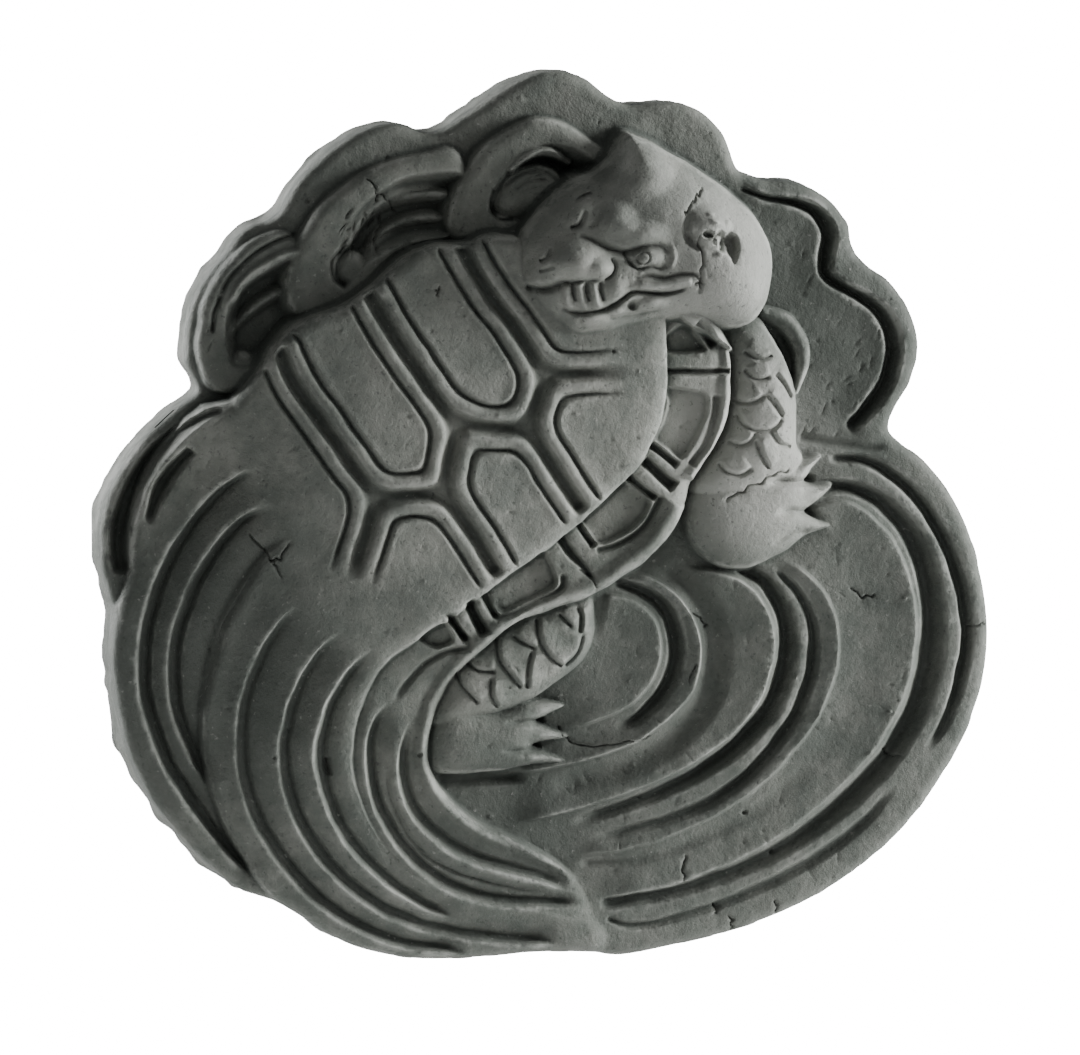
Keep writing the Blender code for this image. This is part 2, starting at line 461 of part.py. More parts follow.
def margin(r):
    """The band of small scutes along the shell's lower edge, which runs on into the tail."""
    r.groove(CLIFF, 8, 1.1, (0, 12), sharp=1)
    # the rim's rounded ridge, and the plain rim above the front foot
    r.ridge([(33, 4), (31, -1), (26.5, -6.5), (20.5, -11.8), (14, -16), (7, -19.3), (0, -21.6),
        (-8, -24.8), (-15, -29), (-22, -35.7), (-27.5, -43.5),
             (-31.5, -53), (-31.5, -63.5), (-27, -72), (-19, -79), (-9, -84.3), (1, -89), (9, -95)],
             [9, 8.4, 7.6, 7, 6.4, 6, 6, 5.6, 5, 4.4, 3.4],
            [2.8, 3, 3, 2.8, 2.6, 2.4, 2.4, 2, 1.8, 1.4, 1], (1.5, 4))
    r.ridge([(45.5, 44), (45.4, 36), (45, 29), (42.6, 21), (38.4, 13.5), (35.4, 9)], 5.6, 2.8, (2, 1))
    # sunk plates, each with a crease outside its lower lip
    for plate in PLATES:
        i, s = r.inside(smooth_line(plate, True), 0.5, 3)
        r.h[i] -= 2.5 * blend_step(s, -0.3, 1.0)
    r.groove([(36, 49.5), (39, 47), (41.8, 42.8)], 3.4, 3.2, (0.5, 1))
    r.groove([(42.4, 31), (42, 25), (39.8, 18.5), (35.6, 12.6)], 3, 2.4, (1, 1))
    r.groove([(28.4, 5.4), (24, -2), (18, -6.6), (11, -8.6)], 2.4, 2.0, (1, 1))
    r.groove([(3, -14), (2.2, -18), (-5, -21.3), (-10, -24), (-15, -25.6)], 2.2, 1.6, (1, 1))
    # the plates' raised borders stand in pairs, with a deep gap between them
    bars(r, [((29, 36.6), (46, 36.8))], 2.4, 3.0)
    bars(r, [((25.3, 18.4), (32.4, 12.8)), ((19.2, 10.6), (27, 4.4)), ((6.4, -1.4), (10.8, -7.8)),
        ((-17.8, -18.3), (-14, -25.2)), ((-26.6, -23.4), (-21.6, -31))], 2.8, 3.6)
    bars(r, [((23.4, 14.6), (31.6, 7.2)), ((-21.8, -20.2), (-17, -29.4))], 4, 4.8)
    r.groove([(2, -4.6), (5, -9), (8.2, -12.6), (10.4, -15.6)], [3.4, 3.6, 2.6, 1.6],
        [3.4, 3.8, 2.4, 1.4], (0.8, 0.8))
    r.groove([(-27, -24), (-21, -32), (-27, -34), (-34, -39), (-41, -48)], 2.6, [1.5, 1.6, 1.2], (0, 8))


PLATES = [[(28.8, 45.5), (33.8, 49), (37, 46), (39.6, 42.4), (34, 41.2), (29.2, 41.6)],
          [(29.8, 32.6), (36, 32.4), (39.8, 31.2), (40.2, 26.5), (38, 21), (33.6, 14.6), (29.5, 17),
          (26.6, 19.4), (28.6, 24.5), (29.8, 28.5)],
          [(16.6, 8.4), (19.4, 9), (25.6, 4), (22, -2), (17, -5.4), (12, -7.2), (9.4, -4), (7.4, -0.6),
          (12, 3.6)],
          [(-12, -13.8), (-7, -10.5), (-2.4, -8.2), (0.6, -13), (1.2, -17), (-4, -20), (-10, -22.8),
          (-13.6, -23.6), (-17, -18.2)],
          [(-34, -30), (-28, -25.6), (-24.6, -30.6), (-29, -33)]]


def strands(r):
    """The tail's strands: rounded cords between narrow grooves."""
    back = [
        [(-74, 13), (-81, 9), (-88, 2), (-94.5, -7.5), (-99.5, -19), (-102, -31), (-102.2, -42),
        (-100, -52), (-95.5, -63), (-89, -73.5), (-81, -84), (-74, -91)],
        [(-70, 4), (-78, 0), (-84.5, -7.5), (-90, -17), (-93.8, -28), (-95, -39), (-93.5, -49.5),
        (-90, -58.5), (-86, -68)],
    ]
    front = [
        [(-64, -21), (-70, -28), (-75, -38), (-77.6, -48), (-78, -58), (-76.5, -68), (-72.5, -78.5),
        (-66, -88.5), (-58, -97), (-48, -104), (-36, -108.8), (-20, -110.8)],
        [(-53, -27.5), (-60, -35), (-65, -45), (-67.5, -56), (-66.5, -67), (-63, -77), (-57, -86.5),
        (-48.5, -95), (-38, -101.5), (-25, -106), (-10, -108.3), (4, -109)],
        [(-45, -32), (-52, -40), (-57, -50), (-58.5, -60), (-56.3, -71), (-51.5, -80.5), (-44, -89.5),
        (-34, -97), (-23, -102.5)],
        [(-40, -46), (-44, -51), (-45.8, -58), (-45, -68), (-41.5, -77), (-35, -86), (-26, -93.5),
        (-14, -98), (-2, -99), (10, -99.5)],
        [(-34.5, -51), (-37.3, -58), (-37.3, -66), (-34.5, -74), (-28.5, -81), (-20, -86.5), (-10, -90),
        (0, -93), (7, -96)],
    ]
    for lines, depth in ((back, 4.2), (front, 3.0)):
        for line in lines:
            r.swell(line, 1.1, 7, side=-1, fade=(9, 8), power=1.2)
            r.swell(line, -depth, 7.5, side=1, fade=(9, 8), power=1.7)
            r.groove(line, [2.4, 4.4, 4.4, 2.4], 0.95 * depth, (9, 8))
    # the front mass overlaps the back strands with a clean step
    r.swell(TAIL_LEFT, -3.4, 9, side=-1, fade=(9, 6), power=1.4)
    r.swell(TAIL_LEFT, 0.8, 6, side=1, fade=(9, 6))
    r.groove([(-72, -8), (-76, -14), (-81, -23), (-84.3, -31), (-86.5, -40), (-88.5, -50)],
        5, [1, 2.4, 1], (5, 5), sharp=1)
    r.groove([(-41.5, -60), (-41, -69), (-37, -79), (-30.5, -86.3), (-21, -91.5), (-10, -94.8),
        (1, -96.5)], 3, [0.6, 1.4, 1.4, 1], (8, 8), sharp=1)


def legs(r):
    # front leg and foot
    thigh = [(44, 52), (54, 51), (58.5, 45.5), (62, 39), (64.2, 32), (65, 24), (65, 17.5), (66.5, 13),
        (60, 4), (48, 2), (38, 4), (36.5, 8), (40, 13),
             (44, 19), (46.8, 27), (47, 36)]
    r.pillow(thigh, 20, 10.5, 11, fillet=1.0)
    plates_of_skin(r, [[(48.3, 26), (49.5, 23), (53, 21.3), (57, 21.8), (60, 24.5)], [(47.5, 30),
        (50, 28.6), (53, 29), (55.5, 30.6)], [(55.5, 31), (58, 28), (60, 24.5)],
                       [(46, 19), (48.5, 17.8), (51, 18.6), (53, 21)], [(43.5, 13.5), (45.5, 11),
                       (49, 10.3), (52, 12)], [(52.5, 19.5), (53.8, 15.5), (56.5, 11.6)],
                       [(56.5, 21.5), (59, 18), (62.5, 17)], [(49.5, 42), (53.5, 39.6), (57.5, 40.5)],
                       [(50, 37.5), (53, 34.6), (57, 35.2)], [(58, 36), (60.5, 33.5), (62.5, 29)]])
    foot = [(36.5, 6), (36, -3), (38.5, -9), (44, -13.4), (51, -14.3), (58, -12), (64, -8.5),
        (68, -5.5), (74, -3.4), (70, -1.5), (67.5, 0.5), (71, 3.5), (74.5, 7), (70, 7),
            (67.5, 8), (69, 11), (71.5, 14.5), (66, 13.8), (59, 12.8), (53, 12), (46, 10)]
    r.pillow(foot, 20, 10, 12, fillet=0.8)
    r.groove([(55, 8), (60, 8.6), (65, 8.2), (69, 8)], 3.6, 2.2, (6, 0), sharp=1.4)
    r.groove([(57, 0), (62, 0.8), (66, 0.4), (69, 0)], 3.6, 2.2, (6, 0), sharp=1.4)
    r.groove([(57, -8), (62, -5.6), (68, -4.4)], 2.6, 1.0, (4, 1), sharp=1.4)
    # hind leg and foot
    thigh = [(-22, -34), (-12, -27), (0, -21.5), (11, -19.5), (13, -26), (12.3, -32.5), (8.5, -38.5),
        (2, -43.5), (-6, -48.5), (-20, -53), (-31, -52)]
    r.pillow(thigh, 19, 9, 9, fillet=1.0)
    plates_of_skin(r, [[(-3, -25.5), (-2.8, -31), (0, -35.5), (3.5, -38.5)], [(-13.5, -30.5),
        (-13, -36), (-10.3, -40), (-7, -43.7)], [(-9.5, -30), (-7, -32), (-3.5, -33.6)],
                       [(-4.6, -33.8), (-5.6, -38.5), (-5.5, -44)], [(-23.5, -39), (-22, -43),
                       (-18.2, -47.2)], [(-15, -40.5), (-15, -45), (-12.8, -48.4)],
                       [(-21, -36.8), (-18, -39), (-13.6, -39.2)], [(2.5, -24.6), (4, -26.4),
                       (6, -28.4)], [(7.5, -23), (8.4, -26), (8, -30)], [(4, -38.6), (7.6, -34.5),
                       (9, -30)]])
    foot = [(-28, -47.5), (-14, -49), (-5, -46.8), (5, -48.3), (0.5, -51), (-2, -53), (6, -56.6),
        (0, -58), (-3, -59.4), (5, -63), (-3, -63.8), (-10, -65), (-20, -66), (-31, -64)]
    r.pillow(foot, 18.5, 8.5, 8, fillet=0.8)
    r.groove([(-12, -52.6), (-6, -52.4), (-1, -52.6)], 3, 1.8, (5, 0), sharp=1.4)
    r.groove([(-13, -59.4), (-7, -59.6), (-2, -59.6)], 3, 1.8, (5, 0), sharp=1.4)
    r.groove([(-29, -67.5), (-18, -67.6), (-4, -67)], 5, 2.5, (3, 4))


def plates_of_skin(r, lines):
    """Overlapping scales: each line is a scale's lower edge, raised above the skin outside it."""
    for line in lines:
        r.swell(line, 1.1, 5, side=1, fade=(1, 1), power=1.2)
        r.groove(line, 2.2, 1.2, (0.8, 0.8), sharp=1.2)


def head(r):
    loop = [(-9.5, 70), (-5, 76.5), (0, 82), (5.5, 85.5), (10.5, 87.6), (14, 91.4), (18.4, 96.4),
        (22.4, 95.8), (28, 93.4), (37, 88), (46, 82), (52.5, 75.5),
            (56.2, 67.5), (56.6, 60), (54.6, 53), (50, 48.2), (43, 47.4), (36, 49.6), (28, 48.8),
            (18, 46.6), (10, 44.8), (4, 45.3), (-2, 50), (-7, 55.5), (-10, 62)]
    r.pillow(loop, 27, 19.3, 14.5, steep=5, fillet=0.8)
    # horn: a blunt cone, with a fold where it leaves the skull
    r.bump(21, 90, 12, 10, 3.4, turn=60, power=0.8)
    r.groove([(7, 86.8), (13, 86), (20, 86.2), (26, 87.6)], 5.5, 0.7, (3, 6))
    # brows, snout, flared nostril and cheek
    for x, z, rx, rz, high, turn, power in ((13.5, 75, 6.5, 5, 2.4, 20, 0.8),
        (20, 71.8, 8, 4, 2.8, -8, 0.6), (4, 76.5, 5, 4.5, 1.4, 30, 0.8),
                                            (3.5, 64.8, 9.5, 6.6, 4.8, -10, 0.7),
                                            (10.4, 62.9, 3.8, 3.4, 2.2, 0, 0.4),
                                            (-3, 62.6, 5, 4.6, 1.4, 0, 0.6),
                                            (40, 58, 16, 13, 2.5, 0, 1), (28, 76, 12, 7, 1.2, 0, 1),
                                            (7.6, 49.8, 6, 3.2, 2.0, 10, 0.6)):
        r.bump(x, z, rx, rz, high, turn, power)
    # far eye, far nostril and the wrinkles beside them
    r.groove([(2.4, 73.2), (4.6, 73.8), (5.6, 75.4), (6.4, 77.6)], 2.2, [2.0, 2.4, 1.4, 0.6],
        (0.6, 0.6), sharp=1.2)
    r.groove([(4, 79.4), (6.4, 80.9), (8.7, 81.8)], 1.7, [0.8, 1.7, 1.2], (0.6, 0.6), sharp=1.2)
    r.groove([(6.8, 72.6), (8.8, 75), (10.4, 77.8)], 1.6, 0.6, (1, 1))
    r.groove([(-5, 64.5), (-3.2, 65.7), (-2, 68.6)], 2.0, [2.0, 1.8, 0.8], (0.5, 0.5), sharp=1.2)
    r.groove([(-5.2, 62.2), (-1.4, 63.3)], 1.5, 1.0, (0.5, 0.5))
    # near eye: heavy brow, lids, pupil and the fold at its outer corner
    r.groove([(4.4, 71.4), (8, 70), (12, 68), (16, 67.1), (20, 68.3), (25, 68.5), (27.2, 66.6)],
        [2.5, 3.2, 3.6, 3.4, 2.4, 2], [0.8, 1.8, 2.6, 2.8, 1.8, 1.2, 0.6], (1, 1), sharp=1.3)
    r.bump(21.2, 65.6, 5.4, 3.2, 2.0, 0, 0.5)
    r.groove([(15.6, 67.2), (16.8, 64.8), (19.4, 62.9), (22.4, 63.3), (25, 62.8), (26.8, 64)],
        1.9, [1.2, 1.9, 1.7, 1.1, 0.8], (0.6, 0.8), sharp=1.2)
    r.bump(18.2, 65.2, 2.3, 2.2, -1.5, 0, 0.5)
    r.groove(ring(20.5, 65.5, 1.5) + [(22.0, 65.5)], 1.1, 0.9, (0, 0), sharp=1)
    r.ridge([(27.5, 68.6), (28.2, 65.6), (27.4, 62.6)], 2.0, 0.7, (1, 1))
    r.groove([(12.2, 65.8), (13.3, 63.6), (12.6, 61.3), (10.6, 60.2)], 1.9, [1.0, 2.0, 2.0, 1.2],
        (0.6, 0.6), sharp=1.2)
    # the far corner of the mouth, the upper lip and its upright folds
    r.groove([(-7.6, 58.5), (-3.5, 58), (0.4, 59.4), (5, 60), (10, 60.4)], [2.4, 4, 3.2, 1.8, 1.6],
        [1.2, 3.0, 2.4, 1.2, 0.9], (1, 1), sharp=1.3)
    for x in (1.6, 5.0, 8.6):
        r.ridge([(x - 0.3, 60), (x, 57.2), (x + 0.7, 54.6), (x + 2.2, 53)], [2.6, 3, 2.4],
            [1.2, 1.7, 0.8], (1, 1))
        r.groove([(x + 1.6, 60), (x + 1.8, 57.3), (x + 2.6, 54.9)], 1.5, [1.4, 1.9, 0.8], (0.5, 0.5),
            sharp=1.2)
    r.bump(13.9, 57.8, 3.4, 4.2, 1.5, -20, 0.6)
    # the slit of the mouth, the two lips to its right, and the chin
    r.groove([(0.5, 53.4), (5, 52), (9, 52.1), (13, 53.3), (16, 55.5), (18.6, 57.1), (24, 56.6),
        (28, 57), (31.8, 58.1)], [2, 2.2, 2.4, 2.6, 2.4, 1.6],
             [0.8, 1.8, 2.0, 2.6, 2.6, 2.2, 1.2], (1, 1), sharp=1.3)
    r.ridge([(19.4, 59.1), (24, 58.5), (29, 59.4), (33.2, 59.7)], [2.8, 3.2, 3.2, 2.4],
        [1.2, 2.1, 2.1, 1.2], (1, 1))
    r.groove([(18, 60.6), (22, 61), (25.5, 60.3), (30, 61.3), (33.6, 61.5), (35.3, 59.6), (34.9, 56.4)],
        1.7, [0.8, 1.2, 1.2, 1.3, 0.8], (1, 1))
    r.bump(23.6, 54, 4.8, 2.2, 2.0, 6, 0.4)
    r.bump(14.7, 52, 2.6, 1.8, 1.4, 0, 0.5)
    r.bump(18.4, 53.6, 1.7, 1.7, -2.6, 0, 0.3)
    r.groove([(12, 50.4), (16.5, 51), (20.5, 51.4), (26, 52.6)], 2.2, [0.6, 1.2, 1.2, 0.5], (1, 1))
    r.groove([(5.4, 51), (5.6, 49), (6.8, 47.8)], 1.4, 0.9, (0.5, 0.5))
    # the broken ear: a rough stump beside a ragged pit
    r.bump(37.6, 73.6, 6.4, 6, 3.2, 0, 0.3)
    r.groove([(32.6, 77.4), (31.4, 73.6), (32.2, 69.6), (35.4, 67.4)], 3, [0.6, 1.6, 2.2, 0.8], (1, 1))
    i, s = r.inside(smooth_line([(36.8, 71.2), (39.8, 72.6), (42.2, 71.6), (44.8, 71.4), (45.4, 67.4),
        (43.6, 63.8), (41.8, 66.2), (39.6, 67.2), (39.2, 69.4)], True), 0.5, 3)
    r.h[i] -= 4.0 * blend_step(s, -0.2, 1.6)
    for x, z, rx, rz, high, turn in ((36.6, 71.4, 1.7, 1.3, -3.2, 0), (39.6, 70.4, 1.6, 1.1, 1.6, 20),
        (41.6, 68.2, 1.3, 1.8, 1.8, 30), (42.6, 71.4, 1.2, 1, -1.4, 0),
                                     (39, 74.4, 2.4, 1.2, 1.0, -20), (33, 71, 1.6, 1.2, -0.8, 40),
                                     (37.6, 76.6, 1.4, 0.9, 0.8, 0)):
        r.bump(x, z, rx, rz, high, turn, 0.2)


def rim_round(r):
    """Rounds the tile's own edge over."""
    closed = smooth_line(OUTLINE, True)
    i, s = r.inside(closed, 3, 4)
    radius = EDGE_RADIUS * SKETCH_WIDTH / WIDTH
    inner = np.clip(radius - s, 0, radius)
    drop = radius - np.sqrt(np.clip(radius**2 - inner**2, 0, None))
    r.h[i] -= drop


def face_grid():
    """A square grid, and where its points lie when its rings are drawn out onto the outline."""
    face = bmesh.new()
    bmesh.ops.create_grid(face, x_segments=CELLS, y_segments=CELLS, size=1.0)
    u, v = np.array([p.co[:2] for p in face.verts]).T
    wide = abs(u) >= abs(v)
    far = np.where(wide, u, v)
    far = np.where(far == 0, 1.0, far)
    turn = np.pi / 4 * np.where(wide, v / far, 2 - u / far) + np.pi * (far < 0)
    edge = smooth_line(OUTLINE, True, 24)
    bearing = np.arctan2(edge[:, 1], edge[:, 0])
    order = np.argsort(bearing)
    reach = np.interp(turn, bearing[order], np.hypot(*edge[order].T), period=2 * np.pi)
    share = np.maximum(abs(u), abs(v)) * reach
    return face, np.stack([share * np.cos(turn), share * np.sin(turn)], 1)


def add_wall(face):
    """The side wall from the front's edge to the back, leaning out as it goes."""
    rim = [e for e in face.edges if e.is_boundary]
    for part in (0.5, 1.0):
        wall = bmesh.ops.extrude_edge_only(face, edges=rim)["geom"]
        rim = [e for e in wall if isinstance(e, bmesh.types.BMEdge) and e.is_boundary]
        for v in (v for v in wall if isinstance(v, bmesh.types.BMVert)):
            drop = -v.co.y * part
            out = 1 + DRAFT * drop / np.hypot(v.co.x, v.co.z)
            v.co = (v.co.x * out, v.co.y + drop, v.co.z * out)


def build():
    for old in list(bpy.data.objects):
        bpy.data.objects.remove(old, do_unlink=True)
    scale, deep = WIDTH / SKETCH_WIDTH, DEPTH / SKETCH_DEPTH
    face, flat = face_grid()
    for p, (x, z), high in zip(face.verts, flat, carve(flat)):
        p.co = (x * scale, -high * deep, z * scale)
    add_wall(face)
    fine = bpy.data.meshes.new("fine")
    face.to_mesh(fine)
    face.free()
    carving = bpy.data.objects.new("carving", fine)
    bpy.context.scene.collection.objects.link(carving)
    thin = carving.modifiers.new("thin", "DECIMATE")
    thin.ratio = TRIANGLES / (2.0 * len(fine.polygons))
    thin.use_collapse_triangulate = True
    graph = bpy.context.evaluated_depsgraph_get()
    mesh = bpy.data.meshes.new_from_object(carving.evaluated_get(graph))
    bpy.data.objects.remove(carving, do_unlink=True)

    solid = bmesh.new()
    solid.from_mesh(mesh)
    open_edges = [e for e in solid.edges if e.is_boundary]
    middle = solid.verts.new((0, 0, 0))
    for edge in open_edges:
        for v in edge.verts:
            v.co.y = 0.0
        solid.faces.new((*edge.verts, middle))
    bmesh.ops.recalc_face_normals(solid, faces=solid.faces)
    solid.to_mesh(mesh)
    solid.free()

    mesh.name = "tile"
    clay = bpy.data.materials.new("grey_clay")
    clay.use_nodes = True
    shader = clay.node_tree.nodes["Principled BSDF"]
    shader.inputs["Base Color"].default_value = (0.105, 0.115, 0.108, 1)
    shader.inputs["Roughness"].default_value = 0.86
    mesh.materials.clear()
    mesh.materials.append(clay)
    tile = bpy.data.objects.new("tile", mesh)
    group = bpy.data.collections.new("roof_end_tile")
    bpy.context.scene.collection.children.link(group)
    group.objects.link(tile)


build()
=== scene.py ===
"""The roof end tile dressed as fired grey clay: its fine relief, its wear and cracks, the painted shade
and painted light in its colour, and soft studio light."""
import math

import bmesh
import bpy
import numpy as np
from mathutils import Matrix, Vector


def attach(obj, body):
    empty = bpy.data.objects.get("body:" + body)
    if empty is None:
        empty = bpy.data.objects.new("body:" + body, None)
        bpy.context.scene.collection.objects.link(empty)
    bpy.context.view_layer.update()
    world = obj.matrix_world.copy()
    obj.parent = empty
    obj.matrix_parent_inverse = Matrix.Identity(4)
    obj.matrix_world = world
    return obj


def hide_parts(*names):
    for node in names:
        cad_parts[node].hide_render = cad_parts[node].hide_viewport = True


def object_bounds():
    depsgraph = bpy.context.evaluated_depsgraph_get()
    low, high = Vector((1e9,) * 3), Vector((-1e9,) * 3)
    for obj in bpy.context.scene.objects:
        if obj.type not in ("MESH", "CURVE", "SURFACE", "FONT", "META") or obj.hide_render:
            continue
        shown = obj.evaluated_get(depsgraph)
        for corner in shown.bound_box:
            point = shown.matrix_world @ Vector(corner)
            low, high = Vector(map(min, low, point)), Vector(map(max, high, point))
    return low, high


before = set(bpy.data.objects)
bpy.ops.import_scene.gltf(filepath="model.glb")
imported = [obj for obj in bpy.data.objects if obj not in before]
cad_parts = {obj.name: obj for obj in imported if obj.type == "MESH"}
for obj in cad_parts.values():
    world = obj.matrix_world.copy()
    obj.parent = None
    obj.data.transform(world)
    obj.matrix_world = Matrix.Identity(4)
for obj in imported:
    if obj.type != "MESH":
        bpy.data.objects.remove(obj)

CAD_BOX = [list(map(float, corner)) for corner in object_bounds()]

# sizes in metres; the drawings below are in sketch units, about a millimetre each
WIDTH = 0.2293          # the outline at the front edge, left to right
DEPTH = 0.0505          # flat back to the highest point of the head
DRAFT = 0.09            # how far the side wall leans out per unit of its height
EDGE_RADIUS = 0.0032    # rounding of the front edge
SKETCH_WIDTH = 229.3    # the drawn outline's width
SKETCH_DEPTH = 50.3     # the drawn head's height

CELLS = 760           # cells along each side of the grid that is carved
TRIANGLES = 188000  # triangles kept on the front and the side wall
BATCH = 50000           # points that are worked on at a time against all the ground's posts
SMALL_BATCH = 4000      # the same against all the pieces of a loop
RUN = 6                 # pieces of a line that share one search for points near them
SHARP_ANGLE = 50        # degrees between two faces that are shaded with an edge

POST_SPREAD = 13        # how far each post of the ground and the hill is felt
FOOT = 8                # how far outside a raised region its sloping wall is followed
CREST = 1.4             # width of the rounding at the line that a swell rises to
WOBBLE = 0.28           # how far hand work strays from the drawn lines
SPECKS = 260            # small random dents and grains
SKIN = [(0.25, 17, 1), (0.14, 6.5, 2), (0.07, 2.6, 3), (0.045, 1.1, 4)]  # (height, size, seed)

WALL_STEPS = 14         # rings of the side wall, for its ragged clay
WALL_LUMPS = 0.6        # how uneven the side wall is
FLAKE_OUT = 0.5         # how far a flake of clay stands out behind the rim
FLAKE_WIDTH = 3.0
FLAKE_FADE = 6          # flakes fade out over one part in this many of the wall's depth

WEAR_AND_SHADING_CELL = 0.6         # cells of the height map that the wear and the painted shading are read from
WEAR_AND_SHADING_HALF = 120         # half the width of that map
WEAR_AND_SHADING_NEAR, SHADING_WIDE = 4, 14  # cells over which the clay round a point is averaged
WEAR_AND_SHADING_BEHIND = -0.012    # behind this the side wall takes no marks of wear and no painted shading

# the photograph's view: degrees to the left and up, distance, lens, shift of the frame
VIEW_AZIMUTH, VIEW_ELEVATION, VIEW_DISTANCE = -9.0, 4.0, 1.1
LOOK_AT = (0, -0.020, 0)
LENS, SENSOR = 144.0, 36.0
SHIFT = (-5 / 1080, -12.5 / 1080)
FLOOR_DROP, FLOOR_SIZE = 0.25, 1.8

# the white room: strength on its dark and bright side, and as the camera sees it
ROOM_DARK, ROOM_BRIGHT, ROOM_SEEN = 0.07, 0.50, 18.0
BRIGHT_SIDE = (0.60, -0.62, 0.50)
DARK_FROM = -0.3        # cosine to the bright side at which the room is darkest
# soft lights as (name, place, diameter in metres, power in watts)
WINDOWS = [("window", (0.90, -0.17, 0.20), 0.5, 28.5), ("far_left", (-0.65, 0.60, 0.28), 0.5, 26.0)]

OUTLINE = [-88, 32, -90.5, 39, -90.5, 47, -88.5, 55, -85, 61, -81, 66, -78, 70.5, -74, 73.5, -70, 74.5,
    -67, 77, -64, 82, -60, 87, -54, 92.5, -46, 97.5, -39, 99.3, -34.5, 98.5, -30, 96.8, -25, 98, -19, 102,
    -11, 107.5, -3, 111.5, 4, 112.5, 11, 110.5, 17, 106, 22, 104.3, 32, 104.8, 40, 103, 46, 97.5,
    48.7, 91.5, 51, 87.5, 57, 85.2, 66, 84.3, 74, 80.5, 79, 74.5, 80.3, 68.5, 84, 63.5, 91, 58.5, 96, 50.5,
    97.8, 42, 96, 33.5, 91.5, 25.5, 90.5, 21, 94, 17, 99.5, 13, 106, 5.5, 111.5, -5, 115, -17, 116.8, -29,
    116.3, -41, 113.5, -52, 108.5, -63, 101, -75, 91, -86, 79, -95.5, 66, -102.5, 50, -108.3, 33, -112,
    20, -114, 12, -112.8, -4, -112.3, -20, -113.3, -35, -112.8, -50, -109, -61, -102.5, -69, -97.6,
    -78, -94, -88, -86, -97, -75.5, -104, -63.5, -108, -50, -109.8, -36, -109, -24, -110.5, -19,
    -112.5, -10, -112, 1, -108.5, 10, -102.5, 19, -95, 26.5]

# the ground under everything: sea, spray and rim
GROUND = [(0, 105, 20), (35, 98, 19.5), (60, 75, 18.5), (85, 45, 19), (75, 25, 18), (75, 60, 18.5),
    (-70, 70, 20), (-45, 90, 20), (-85, 45, 19), (-60, 60, 17), (-30, 80, 17), (-72, 45, 15), (90, 5, 19.5),
    (110, -30, 20), (85, -30, 19.5), (50, -35, 20.5), (20, -35, 21.5), (70, -75, 20), (95, -65, 20),
    (45, -100, 20), (0, -75, 17), (20, -65, 19.5), (20, -108, 20.5), (-10, -60, 17), (-100, 15, 19),
    (-108, -5, 19), (-100, -70, 20), (-90, -85, 20), (60, 20, 18), (40, 0, 18), (-108, -40, 20),
    (-60, -100, 20), (-30, -110, 20), (-20, -90, 20)]

# the turtle's back and its tail, as one low hill
HILL = [(-10, 22, 39), (12, 30, 38), (-30, 45, 38), (-35, 20, 39), (-50, 30, 37.5), (-60, 10, 36.5),
    (-35, -5, 37.5), (-20, -5, 36.5), (5, 8, 36), (25, 30, 36), (-25, 65, 34), (-62, 45, 34),
    (-75, 20, 32.5), (-55, -20, 34.5), (-80, -15, 30.5), (-92, 5, 26), (-100, -15, 24), (-105, -40, 22),
    (-78, -45, 28), (-62, -50, 30), (-48, -55, 30), (-38, -60, 29), (-78, -75, 25), (-60, -80, 27),
    (-40, -82, 28), (-25, -80, 27), (-40, -100, 23), (-15, -95, 24.5), (0, -103, 22.5), (-68, -95, 22),
    (-95, -60, 22.5), (-100, -75, 21), (-88, -85, 21), (-20, -110, 21), (15, -105, 21.5), (0, 45, 37),
    (5, 60, 37), (-10, 60, 36), (-101, 11, 23.5), (-88, 24, 26), (-106, 0, 22.5)]

TAIL_LEFT = [-66, -4, -72, -9, -78, -17, -83, -27, -86, -39, -87.5, -50, -87, -61, -84, -72, -79, -83,
    -73, -92, -68, -98]
BACK_TAIL_LEFT = [-87, 28, -92.5, 24, -98.5, 17.5, -103.3, 9, -105.8, -1, -106, -11, -108, -19, -110.5, -24]


def curve(points, closed=False, per=5):
    """A Catmull-Rom curve through the points x, z, x, z, ..., as a dense polyline."""
    p = np.reshape(np.asarray(points, float), (-1, 2))
    if closed:
        p = np.vstack([p[-1], p, p[0], p[1]])
    else:
        p = np.vstack([2 * p[0] - p[1], p, 2 * p[-1] - p[-2]])
    t = np.linspace(0, 1, per, endpoint=False)[:, None]
    spans = []
    for a, b, c, d in zip(p, p[1:], p[2:], p[3:]):
        spans.append(0.5 * (2 * b + (c - a) * t + (2 * a - 5 * b + 4 * c - d) * t**2
                            + (3 * b - a - 3 * c + d) * t**3))
    line = np.vstack(spans)
    return line if closed else np.vstack([line, p[-2]])


def soft_max(a, b, k):
    """The larger of two heights, with a fillet about k high where they meet."""
    t = np.clip(0.5 + 0.5 * (a - b) / k, 0, 1)
    return b + (a - b) * t + k * t * (1 - t)


def ease(x, lo, hi):
    """0 below lo, 1 above hi, and a smooth step between them."""
    t = np.clip((x - lo) / (hi - lo), 0, 1)
    return t * t * (3 - 2 * t)


def spread_along(values, t):
    """Values given from a line's start to its end, read at the shares t of its length."""
    values = np.atleast_1d(values).astype(float)
    return np.interp(t, np.linspace(0, 1, len(values)), values)


